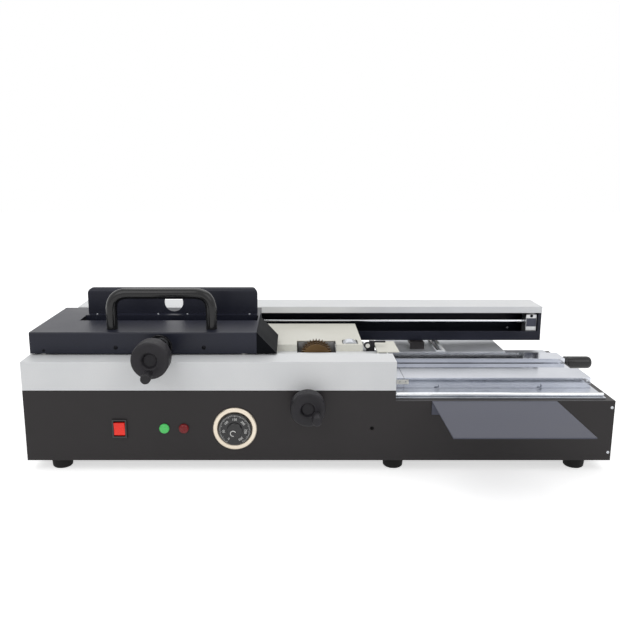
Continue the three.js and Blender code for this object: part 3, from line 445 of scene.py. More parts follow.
def points_mesh(name: str, points: Iterable[Vector], joined: bool = False) -> bpy.types.Mesh:
    """Makes a mesh of bare points, or of one line through them.

    Args:
        name: The mesh's name.
        points: Where they are, in metres.
        joined: Whether an edge joins each point to the next.

    Returns:
        The mesh.
    """
    places = [tuple(p) for p in points]
    edges = [(i, i + 1) for i in range(len(places) - 1)] if joined else []
    mesh = bpy.data.meshes.new(name)
    mesh.from_pydata(places, edges, [])
    return mesh


def soften(profile: Profile, fillet: float) -> Profile:
    """Rounds the corners of a turned profile.

    Args:
        profile: Radius and height of each corner, in millimetres.
        fillet: How far from a corner its rounding starts.

    Returns:
        The profile with three points in place of each inner corner.
    """
    if fillet <= 0:
        return profile
    rounded = [profile[0]]
    for before, corner, after in zip(profile, profile[1:], profile[2:]):
        here, back, ahead = Vector(corner), Vector(before), Vector(after)
        to_back, to_ahead = back - here, ahead - here
        if min(to_back.length, to_ahead.length) < TINY:
            continue
        reach = min(fillet, to_back.length * CORNER_SHARE, to_ahead.length * CORNER_SHARE)
        start = here + to_back.normalized() * reach
        end = here + to_ahead.normalized() * reach
        middle = here * 0.5 + start * 0.25 + end * 0.25
        rounded += [tuple(start), tuple(middle), tuple(end)]
    rounded.append(profile[-1])
    return rounded


class Workshop:
    """Makes pieces in the machine's millimetres and hangs them on their bodies.

    X is zero at the middle of the base, Y at its front panel and Z at the table.
    Corners closer than the weld are taken as one, and faces that meet at less than
    the flat angle, in degrees, as well.
    """

    weld: float = 0.004
    flat: float = 0.6
    bevel_steps: int = 2
    head_rise_share: float = 0.45
    slot_width_share: float = 0.3
    slot_length_share: float = 1.15

    def __init__(self) -> None:
        """Finds the machine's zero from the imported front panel."""
        low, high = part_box("front_panel")
        self.home = Vector(((low.x + high.x) / 2, low.y, 0.0))

    def at(self, place: Point) -> Vector:
        """Returns a point of the machine in the frame's metres."""
        return self.home + Vector(place) * MM

    def span(self, node: str, axis: Axis) -> tuple[float, float]:
        """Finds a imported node's two sides along an axis.

        Args:
            node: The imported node.
            axis: The axis.

        Returns:
            Its low and its high side, in the machine's millimetres.
        """
        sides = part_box(node)
        low, high = ((side[axis.value] - self.home[axis.value]) / MM for side in sides)
        return low, high

    def middle(self, node: str, axis: Axis) -> float:
        """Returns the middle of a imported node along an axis, in millimetres."""
        return sum(self.span(node, axis)) / 2

    def settle(
        self,
        name: str,
        mesh: bpy.types.Mesh,
        finish: Finish,
        body: str,
        stands_for: Iterable[str] = (),
        bevel: float = 0.0,
        crease: float = 35.0,
    ) -> None:
        """Finishes a mesh as a piece on a body.

        Args:
            name: The piece's name.
            mesh: Its mesh, in the frame's metres.
            finish: Its finish.
            body: The body that it moves with.
            stands_for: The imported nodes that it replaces.
            bevel: How far its sharp edges are rounded, in millimetres.
            crease: The angle from which an edge stays sharp, in degrees.
        """
        piece = hang(name, mesh)
        mesh.materials.clear()
        mesh.materials.append(finish.material())
        mesh.shade_smooth()
        mesh.set_sharp_from_angle(angle=math.radians(crease))
        if bevel:
            rounding = piece.modifiers.new("rounded_edges", "BEVEL")
            rounding.width = bevel * MM
            rounding.segments = self.bevel_steps
            rounding.limit_method = "ANGLE"
            rounding.angle_limit = math.radians(crease)
            rounding.harden_normals = True
        if stands_for:
            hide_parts(*stands_for)
        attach(piece, body)
        log.info("%s on %s: %d faces", name, body, len(mesh.polygons))

    def refine(self, node: str, finish: Finish, bevel: float, crease: float = 35.0) -> None:
        """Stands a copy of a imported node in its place, with rounded edges.

        Args:
            node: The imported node.
            finish: Its finish.
            bevel: How far its edges are rounded, in millimetres.
            crease: The angle from which an edge counts as sharp, in degrees.
        """
        source = frame["nodes"][node]
        shell = bmesh.new()
        shell.from_mesh(source.data)
        bmesh.ops.remove_doubles(shell, verts=shell.verts, dist=self.weld * MM)
        bmesh.ops.dissolve_limit(
            shell, angle_limit=math.radians(self.flat), verts=shell.verts, edges=shell.edges
        )
        name, body = f"{node}_finished", source["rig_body"]
        self.settle(name, close(shell, node), finish, body, [node], bevel, crease)

    def dress(self, finish: Finish, **bevels: float) -> None:
        """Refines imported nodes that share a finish.

        Args:
            finish: Their finish.
            **bevels: Node name, to how far its edges are rounded, in millimetres.
        """
        for node, bevel in bevels.items():
            self.refine(node, finish, bevel)

    def turn(
        self,
        name: str,
        profile: Profile,
        axis: Axis,
        centre: tuple[float, float],
        finish: Finish,
        body: str,
        stands_for: Iterable[str] = (),
        fillet: float = 0.5,
        steps: int = 80,
    ) -> None:
        """Turns a profile about an axis into a closed piece.

        Args:
            name: The piece's name.
            profile: Radius, and place along the axis, of each corner.
            axis: The axis.
            centre: The axis's place on the two other axes.
            finish: Its finish.
            body: The body that it moves with.
            stands_for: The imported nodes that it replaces.
            fillet: How far its corners are rounded, in millimetres.
            steps: Facets round the axis.
        """
        closed = profile[0] == profile[-1]
        rows = soften(profile, fillet)
        rows = rows[:-1] if closed else rows
        shell = bmesh.new()
        rings = []
        for radius, reach in rows:
            ring = []
            for i in range(steps if radius > TINY else 1):
                angle = 2 * math.pi * i / steps
                across = centre[0] + radius * math.cos(angle)
                up = centre[1] + radius * math.sin(angle)
                place = {
                    Axis.X: (reach, across, up),
                    Axis.Y: (across, reach, up),
                    Axis.Z: (across, up, reach),
                }[axis]
                ring.append(shell.verts.new(self.at(place)))
            rings.append(ring)
        pairs = list(zip(rings, rings[1:])) + ([(rings[-1], rings[0])] if closed else [])
        for one, two in pairs:
            for i in range(steps):
                j = (i + 1) % steps
                corners = [row[k % len(row)] for row, k in ((one, i), (one, j), (two, j), (two, i))]
                unique = list(dict.fromkeys(corners))
                if len(unique) > 2:
                    shell.faces.new(unique)
        bmesh.ops.recalc_face_normals(shell, faces=shell.faces)
        self.settle(name, close(shell, name), finish, body, stands_for)

    def rod(
        self, name: str, node: str, radius: float, centre: tuple[float, float], fillet: float
    ) -> None:
        """Turns a plain plated rod along X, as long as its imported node.

        Args:
            name: The piece's name.
            node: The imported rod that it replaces.
            radius: Its radius in millimetres.
            centre: Its axis's place along Y and Z.
            fillet: How far its ends are rounded.
        """
        start, end = self.span(node, Axis.X)
        profile = [(0.0, start), (radius, start), (radius, end), (0.0, end)]
        self.turn(name, profile, Axis.X, centre, CHROME, "base", [node], fillet)

    def blocks(
        self,
        name: str,
        boxes: Iterable[Sequence[float]],
        finish: Finish,
        body: str,
        bevel: float = 0.3,
    ) -> None:
        """Makes small rectangular trim, each given by its low and high sides.

        Args:
            name: The piece's name.
            boxes: Low and high X, low and high Y, low and high Z of each block.
            finish: Its finish.
            body: The body that it moves with.
            bevel: How far its edges are rounded, in millimetres.
        """
        shell = bmesh.new()
        for x0, x1, y0, y1, z0, z1 in boxes:
            size = Vector((x1 - x0, y1 - y0, z1 - z0)) * MM
            middle = self.at(((x0 + x1) / 2, (y0 + y1) / 2, (z0 + z1) / 2))
            place = Matrix.Translation(middle) @ Matrix.Diagonal((*size, 1.0))
            bmesh.ops.create_cube(shell, size=1.0, matrix=place)
        self.settle(name, close(shell, name), finish, body, bevel=bevel)

    def screws(
        self,
        name: str,
        places: Iterable[Point],
        facing: Facing,
        body: str,
        radius: float = 3.0,
        finish: Finish = TURNED_STEEL,
    ) -> None:
        """Sets a row of cross-head screws with Geometry Nodes.

        Args:
            name: The piece's name.
            places: Where each head meets its sheet.
            facing: The way the heads look.
            body: The body that they move with.
            radius: The head's radius in millimetres.
            finish: Their finish.
        """
        tree = Pattern(
            "cross_head_screws",
            Radius=radius * MM,
            Rise=radius * self.head_rise_share * MM,
            Slot=radius * self.slot_width_share * MM,
            Reach=radius * self.slot_length_share * MM,
            Facing=facing.value,
        )
        given = tree.given
        dome = tree.add(
            "GeometryNodeMeshUVSphere", {"Segments": 24, "Rings": 10, "Radius": given["Radius"]}
        )
        flat = tree.add(
            "ShaderNodeMath", {0: given["Rise"], 1: given["Radius"]}, operation="DIVIDE"
        )
        squash = tree.add("ShaderNodeCombineXYZ", {"X": 1.0, "Y": 1.0, "Z": flat})
        head = tree.add("GeometryNodeTransform", {"Geometry": dome, "Scale": squash})
        lift = tree.add("ShaderNodeCombineXYZ", {"Z": given["Rise"]})
        bars = []
        ways = ((given["Slot"], given["Reach"]), (given["Reach"], given["Slot"]))
        for across, along in ways:
            size = tree.add("ShaderNodeCombineXYZ", {"X": across, "Y": along, "Z": given["Rise"]})
            bar = tree.add("GeometryNodeMeshCube", {"Size": size})
            bars.append(tree.add("GeometryNodeTransform", {"Geometry": bar, "Translation": lift}))
        for bar in bars:
            head = tree.add(
                "GeometryNodeMeshBoolean",
                {"Mesh 1": head, "Mesh 2": bar},
                operation="DIFFERENCE",
                solver="EXACT",
            )
        rows = tree.add(
            "GeometryNodeInstanceOnPoints",
            {"Points": given["Geometry"], "Instance": head, "Rotation": given["Facing"]},
        )
        seed = points_mesh(name, [self.at(p) for p in places])
        self.settle(name, tree.run(rows, seed, finish), finish, body)

    def tube(
        self,
        name: str,
        path: Iterable[Point],
        radius: float,
        finish: Finish,
        body: str,
        stands_for: Iterable[str] = (),
        sides: int = 32,
    ) -> None:
        """Runs a round tube along a path with Geometry Nodes.

        Args:
            name: The piece's name.
            path: The points of its centreline.
            radius: The tube's radius in millimetres.
            finish: Its finish.
            body: The body that it moves with.
            stands_for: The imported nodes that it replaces.
            sides: Facets round the tube.
        """
        tree = Pattern("round_tube", Radius=radius * MM, Sides=sides)
        line = tree.add("GeometryNodeMeshToCurve", {0: tree.given["Geometry"]})
        ring = tree.add(
            "GeometryNodeCurvePrimitiveCircle",
            {"Resolution": tree.given["Sides"], "Radius": tree.given["Radius"]},
        )
        skin = tree.add(
            "GeometryNodeCurveToMesh", {"Curve": line, "Profile Curve": ring, "Fill Caps": True}
        )
        seed = points_mesh(name, [self.at(p) for p in path], joined=True)
        self.settle(name, tree.run(skin, seed, finish), finish, body, stands_for)


# Sub-assemblies


@dataclass
class BaseHousing:
    """The folded black base with its feet, rear panel and mains inlet.

    Sizes are in millimetres, from the middle of the base and its front panel.
    """

    shop: Workshop
    half_length: float = 500.0
    depth: float = 320.0
    foot_radius: float = 19.0
    foot_height: float = 21.7
    foot_hollow: float = 6.5
    foot_recess: float = 2.2
    feet_count: int = 6
    edge_screws: tuple[float, float] = (36.6, 117.0)
    front_inset: float = 5.0
    rear_inset: float = 12.0
    end_rows: tuple[float, float] = (16.0, 304.0)

    def build(self) -> None:
        """Dresses the sheets, then adds feet and screws."""
        self.shop.dress(BLACK_PAINT, chassis=0.7, front_panel=0.7, rear_panel=0.7)
        self.shop.dress(GLOSS_BLACK, power_inlet=0.4)
        self.feet()
        self.fasteners()

    def feet(self) -> None:
        """Turns each rubber foot, tapered and hollow underneath."""
        top, wide = self.foot_height, self.foot_radius
        rubber = [
            (0.0, self.foot_recess), (self.foot_hollow, self.foot_recess),
            (self.foot_hollow, 0.0), (wide - 4, 0.0), (wide - 2, 2.0),
            (wide - 0.8, top - 5), (wide, top - 4), (wide, top), (0.0, top),
        ]
        for number in range(1, self.feet_count + 1):
            node = f"foot_{number}"
            centre = self.shop.middle(node, Axis.X), self.shop.middle(node, Axis.Y)
            self.shop.turn(
                f"rubber_{node}", rubber, Axis.Z, centre, RUBBER, "base", [node], fillet=0.8
            )

    def fasteners(self) -> None:
        """Sets the screws that hold the panels to the folded chassis."""
        end, heights = self.half_length, self.edge_screws
        front = [(end - self.front_inset, 0.0, z) for z in heights]
        self.shop.screws("front_panel_screws", front, Facing.FRONT, "base", radius=2.7)
        x = end - self.rear_inset
        rear = [(side * x, self.depth, z) for side in (-1, 1) for z in heights]
        self.shop.screws("rear_panel_screws", rear, Facing.BACK, "base", radius=3.2)
        # The left end is the machine's outermost side, and heads there would stand past it.
        rows = [(end, y, z) for y in self.end_rows for z in heights]
        self.shop.screws("right_end_screws", rows, Facing.RIGHT, "base", finish=BLACKED_STEEL)


@dataclass
class WorkingWell:
    """The pale covers with the cutter, the glue tank and their motors below."""

    shop: Workshop
    cutter_axis: tuple[float, float] = (0.0, 165.0)
    cutter_front: float = 139.0
    cutter_depth: float = 32.0
    tip_radius: float = 3.5
    thread_radius: float = 4.5
    nut_radius: float = 8.0
    arbor_radius: float = 7.0
    collar_radius: float = 10.0
    running_gap: float = 0.3
    roller_axis: tuple[float, float] = (64.0, 171.5)
    roller_radius: float = 20.0
    roller_span: tuple[float, float] = (154.5, 181.5)
    axle_radius: float = 5.0
    groove_count: int = 8
    groove_half: float = 0.6
    groove_depth: float = 0.5
    dot_axis: tuple[float, float] = (95.5, 187.0)
    dot_radius: float = 4.2
    dot_rise: float = 0.4
    dot_sink: float = 0.6

    def build(self) -> None:
        """Dresses the covers and the two working units."""
        self.shop.dress(WHITE_PAINT, front_cover=0.8)
        self.shop.dress(CREAM_PAINT, rear_cover=0.8, drip_plate=0.6)
        self.cutter()
        self.glue()

    def cutter(self) -> None:
        """Dresses the toothed gang, its arbor and its motor."""
        self.shop.refine("milling_cutter", TOOL_STEEL, bevel=0.12, crease=20.0)
        self.shop.dress(CAST_ALUMINIUM, mill_motor=0.6)
        tip, thread, nut = self.tip_radius, self.thread_radius, self.nut_radius
        shank, collar = self.arbor_radius, self.collar_radius
        front = self.cutter_front - self.running_gap
        back = self.cutter_front + self.cutter_depth + self.running_gap
        arbor = [
            (0.0, front - 7.7), (tip, front - 7.7), (thread, front - 6.7), (thread, front - 4.7),
            (nut, front - 4.7), (nut, front), (shank, front), (shank, back),
            (collar, back), (collar, back + 3.4), (shank, back + 3.4), (shank, back + 16.7),
            (0.0, back + 16.7),
        ]
        name, node = "cutter_arbor_turned", "cutter_arbor"
        self.shop.turn(
            name, arbor, Axis.Y, self.cutter_axis, TURNED_STEEL, "cutter", [node], fillet=0.4
        )

    def glue(self) -> None:
        """Dresses the tank and its roller, and the scraper with its white dot."""
        self.shop.dress(CAST_ALUMINIUM, glue_tank=0.6, glue_motor=0.6)
        front, back = self.shop.span("glue_roller", Axis.Y)
        near, far = self.roller_span
        r, axle = self.roller_radius, self.axle_radius
        grooves = []
        for i in range(1, self.groove_count + 1):
            reach = near + (far - near) * i / (self.groove_count + 1)
            floor = (r - self.groove_depth, reach)
            grooves += [(r, reach - self.groove_half), floor, (r, reach + self.groove_half)]
        roller = [
            (0.0, front), (axle, front), (axle, near), (r, near),
            *grooves,
            (r, far), (axle, far), (axle, back), (0.0, back),
        ]
        body, centre = "glue_roller", self.roller_axis
        self.shop.turn(
            f"{body}_turned", roller, Axis.Y, centre, TURNED_STEEL, body, [body], fillet=0.2
        )
        self.shop.dress(THERMOSET, scraper_bracket=0.5)
        face, _ = self.shop.span("scraper_bracket", Axis.Y)
        r, front, back = self.dot_radius, face - self.dot_rise, face + self.dot_sink
        dot = [(0.0, front), (r, front), (r, back), (0.0, back)]
        self.shop.turn("scraper_dot", dot, Axis.Y, self.dot_axis, NYLON, "base", fillet=0.2)


@dataclass
class Carriage:
    """The sliding box with its jaws, end guard, handle, arm and support rollers."""

    shop: Workshop
    front: float = 43.5
    top: float = 237.0
    flange: float = 239.3
    flange_middle: float = 184.0
    flange_screws: tuple[float, ...] = (-417.0, -301.0, -245.5, -127.0)
    box_screws: tuple[float, ...] = (-350.0, -198.0)
    box_screw_height: float = 210.4
    axle: tuple[float, float] = (-474.4, 205.0)
    handle_middle: tuple[float, float] = (-274.0, 72.0)
    handle_span: float = 174.0
    handle_height: float = 72.5
    handle_bend: float = 30.0
    handle_tube: float = 9.7
    handle_seat: float = 0.3
    bend_steps: int = 12

    def build(self) -> None:
        """Dresses the sheets and jaws, then adds handle, rollers and screws."""
        self.shop.dress(CARRIAGE_PAINT, carriage_box=0.7)
        # The end guard's near-black paint is painted shade.
        self.shop.dress(SHADED_GUARD_PAINT, end_guard=0.7)
        self.shop.refine("rear_jaw", CARRIAGE_PAINT, bevel=0.6, crease=28.0)
        self.shop.dress(STAINLESS, front_jaw=0.5)
        self.shop.dress(CAST_ALUMINIUM, slide_arm=0.6)
        self.shop.dress(NYLON, support_roller_1=0.4, support_roller_2=0.4)
        self.handle()
        self.fasteners()

    def handle(self) -> None:
        """Runs the handle's tube up, across and down again."""
        middle, y = self.handle_middle
        left, right = middle - self.handle_span / 2, middle + self.handle_span / 2
        low = self.top + self.handle_seat
        high = self.top + self.handle_height - self.handle_tube
        bend = self.handle_bend
        path = [(left, y, low)]
        for side, inward in ((left, 1), (right, -1)):
            corner = []
            for i in range(self.bend_steps + 1):
                share = i / self.bend_steps
                across = side + inward * bend * share**2
                up = high - bend * (1 - share) ** 2
                corner.append((across, y, up))
            path += corner if inward > 0 else corner[::-1]
        path.append((right, y, low))
        radius, stands_for = self.handle_tube, ["carry_handle"]
        self.shop.tube("handle_tube", path, radius, SATIN_BLACK, "carriage", stands_for)

    def fasteners(self) -> None:
        """Sets the flange's screws, the box's front bolts and the axle's head."""
        rows = [(x, self.flange_middle, self.flange) for x in self.flange_screws]
        self.shop.screws("flange_screws", rows, Facing.UP, "carriage", radius=2.3)
        bolts = [(x, self.front, self.box_screw_height) for x in self.box_screws]
        self.shop.screws(
            "box_front_bolts", bolts, Facing.FRONT, "carriage", radius=3.6, finish=BLACKED_STEEL
        )
        end = [(self.axle[0], self.front, self.axle[1])]
        self.shop.screws(
            "axle_head", end, Facing.FRONT, "carriage", radius=2.4, finish=BLACKED_STEEL
        )


@dataclass
class HandDrive:
    """A moulded hand wheel with a crank knob on a bright pin.

    The front is the side that the operator sees. The bore is a blind hole from the
    back, given by its radius and where it ends.
    """

    shop: Workshop
    prefix: str
    axis: tuple[float, float]
    crank_axis: tuple[float, float]
    front: float
    depth: float
    radius: float
    bore: tuple[float, float]
    hub: float = 12.0
    hub_reach: float = 9.0
    edge_share: float = 0.125
    recess_share: float = 0.4
    crank_length: float = 38.0
    crank_radius: float = 8.0
    crank_gap: float = 0.3
    pin_radius: float = 4.6

    def build(self) -> None:
        """Turns the wheel and its crank."""
        self.wheel()
        self.crank()

    def wheel(self) -> None:
        """Turns the wheel with its rolled rim and hollow middle."""
        r, hub = self.radius, self.hub
        edge, recess = r * self.edge_share, r * self.recess_share
        front, back = self.front, self.front + self.depth
        bore, bottom = self.bore
        rim = [
            (0.0, front + edge * 2), (recess - edge * 0.6, front + edge * 2),
            (recess, front + edge * 0.4), (recess + edge * 0.7, front), (r - edge * 1.3, front),
            (r - edge * 0.35, front + edge * 0.35), (r, front + edge * 1.3),
            (r, back - edge * 1.3), (r - edge * 0.35, back - edge * 0.35),
            (r - edge * 1.3, back), (hub, back), (hub, back + self.hub_reach),
            (bore, back + self.hub_reach), (bore, bottom), (0.0, bottom),
        ]
        body = f"{self.prefix}_wheel"
        self.shop.turn(f"{body}_turned", rim, Axis.Y, self.axis, THERMOSET, body, [body], fillet=1.6)

    def crank(self) -> None:
        """Turns the crank's barrel and the bright pin at its root."""
        root = self.front - self.crank_gap
        tip, wide = root - self.crank_length, self.crank_radius
        barrel = [
            (0.0, tip), (wide - 2.5, tip), (wide - 0.6, tip + 1.2), (wide, tip + 4),
            (wide, tip + self.crank_length * 0.5), (wide * 0.8, root - 7),
            (wide * 0.72, root - 5), (0.0, root - 5),
        ]
        body = f"{self.prefix}_crank"
        centre = self.crank_axis
        self.shop.turn(f"{body}_barrel", barrel, Axis.Y, centre, THERMOSET, body, [body], fillet=1.2)
        r, start = self.pin_radius, root - 5.5
        pin = [(0.0, start), (r, start), (r, root), (0.0, root)]
        self.shop.turn(f"{body}_pin", pin, Axis.Y, centre, TURNED_STEEL, body, fillet=0.3)


@dataclass
class ClampBearing:
    """The glossy flange on the carriage and the plated screw through it."""

    shop: Workshop
    axis: tuple[float, float] = (-274.0, 212.0)
    wheel_middle: float = -31.0
    hub_back: float = -3.0
    collar_back: float = 34.9
    screw_radius: float = 6.0
    collar_radius: float = 12.0
    neck_radius: float = 10.0
    gap: float = 0.3

    def build(self) -> None:
        """Dresses the flange and turns the screw with its collar."""
        self.shop.dress(GLOSS_BLACK, clamp_bearing=0.9)
        _, end = self.shop.span("clamp_screw", Axis.Y)
        start, hub, back = self.wheel_middle + self.gap, self.hub_back, self.collar_back
        r, wide, neck = self.screw_radius, self.collar_radius, self.neck_radius
        screw = [
            (0.0, start), (r, start), (r, hub + self.gap), (wide - 1.5, hub + self.gap),
            (wide, hub + 3), (wide, hub + 14), (neck, hub + 16), (neck, back - 7),
            (wide, back - 5), (wide, back), (r, back), (r, end), (0.0, end),
        ]
        name, body, node = "clamp_screw_turned", "clamp_wheel", "clamp_screw"
        self.shop.turn(name, screw, Axis.Y, self.axis, CHROME, body, [node], fillet=0.6)


@dataclass
class GuideBeam:
    """The beam behind the base, whose rod carries the carriage's arm."""

    shop: Workshop
    rod: tuple[float, float] = (358.0, 187.0)
    rod_radius: float = 4.5
    back_screws: tuple[float, ...] = (-437.0, 437.0)
    back_screw_height: float = 159.0
    back_face: float = 409.7
    block_front: float = 344.0
    block_screws: tuple[float, float] = (161.0, 200.0)
    end_plate: tuple[float, ...] = (479.0, 485.9, 338.5, 412.0, 150.0, 207.5)
    pad_half: float = 10.3
    pad_height: tuple[float, float] = (177.0, 195.0)
    pad_rise: float = 0.8
    pad_sink: float = 0.2

    def build(self) -> None:
        """Dresses the beam, turns its rod, and adds the end plate, pads and screws."""
        self.shop.blocks("beam_end_plate", [self.end_plate], CARRIAGE_PAINT, "base", bevel=0.6)
        self.shop.dress(CARRIAGE_PAINT, beam_channel=0.6)
        self.shop.dress(WHITE_PAINT, beam_cover=0.9)
        for number in (1, 2):
            self.shop.refine(f"rod_block_{number}", CAST_ALUMINIUM, bevel=0.8)
            self.shop.refine(f"beam_bracket_{number}", BLACK_PAINT, bevel=0.6)
        self.shop.rod("guide_rod_turned", "guide_rod", self.rod_radius, self.rod, fillet=0.8)
        rows = [(x, self.back_face, self.back_screw_height) for x in self.back_screws]
        self.shop.screws("beam_back_screws", rows, Facing.FRONT, "base", radius=3.2)
        blocks, pads = [], []
        for number in (1, 2):
            middle = self.shop.middle(f"rod_block_{number}", Axis.X)
            left, right = middle - self.pad_half, middle + self.pad_half
            front, back = self.block_front - self.pad_rise, self.block_front + self.pad_sink
            blocks += [(middle, self.block_front, z) for z in self.block_screws]
            pads.append((left, right, front, back, *self.pad_height))
        self.shop.screws(
            "rod_block_screws", blocks, Facing.FRONT, "base", radius=3.4, finish=BLACKED_STEEL
        )
        self.shop.blocks("rod_block_pads", pads, TRAY_PAINT, "base", bevel=0.3)


@dataclass
class Deck:
    """The lower right deck with its trays, its lay guide and the stop rod."""

    shop: Workshop
    rod: tuple[float, float] = (17.2, 134.8)
    rod_radius: float = 3.2
    guide_left: float = 256.0
    guide_width: float = 6.0
    guide_ends: tuple[float, float] = (298.5, 393.5)
    guide_top: float = 136.9
    strip_inset: float = 0.6
    strip_sink: float = 0.4
    strip_rise: float = 0.8

    def build(self) -> None:
        """Dresses the sheets, lays the guide's strip and turns the front rod."""
        self.shop.dress(STAINLESS, deck_plate=0.4)
        self.shop.dress(TRAY_PAINT, front_tray=0.7)
        # The rear tray's bright tint is painted reflection.
        self.shop.dress(GLEAM_PAINTED_SHEET, rear_tray=0.5)
        self.shop.dress(WHITE_PAINT, lay_guide=0.5)
        left = self.guide_left + self.strip_inset
        right = self.guide_left + self.guide_width - self.strip_inset
        low, high = self.guide_top - self.strip_sink, self.guide_top + self.strip_rise
        strip = (left, right, *self.guide_ends, low, high)
        self.shop.blocks("lay_guide_strip", [strip], GLOSS_BLACK, "lay_guide")
        self.shop.rod("stop_rod_turned", "cover_stop_rod", self.rod_radius, self.rod, fillet=0.6)


@dataclass
class NipStation:
    """The table that presses the spine, its two bars and the lifting lever."""

    shop: Workshop
    grip_axis: tuple[float, float] = (258.0, 122.0)
    grip_radius: float = 12.5
    end_row: tuple[float, float] = (476.0, 144.0)

    def build(self) -> None:
        """Dresses the table, the bars and the lever."""
        self.shop.dress(GROUND_STEEL, nip_table=0.5, rear_nip_bar=0.6, front_nip_bar=0.6)
        self.shop.dress(GROUND_STEEL, nip_end_block=0.6)
        self.shop.dress(NYLON, nip_bar_stop=0.4)
        self.shop.dress(TURNED_STEEL, lever_shaft=0.6)
        self.grip()
        x, z = self.end_row
        face, _ = self.shop.span("front_nip_bar", Axis.Y)
        self.shop.screws("nip_bar_screw", [(x, face, z)], Facing.FRONT, "front_nip_bar", radius=2.2)

    def grip(self) -> None:
        """Turns the lever's plastic grip, with a shallow ring and a domed end."""
        start, end = self.shop.span("lever_grip", Axis.X)
        r = self.grip_radius
        profile = [
            (0.0, start), (r - 2, start), (r, start + 2), (r, start + 6),
            (r - 0.8, start + 6.6), (r - 0.8, start + 7.6), (r, start + 8.2), (r, end - 8),
            (r - 1.2, end - 3.4), (r - 4.4, end - 0.6), (0.0, end),
        ]
        name, body, node = "grip_turned", "nip_lever", "lever_grip"
        self.shop.turn(
            name, profile, Axis.X, self.grip_axis, GRIP_PLASTIC, body, [node], fillet=1.6
        )


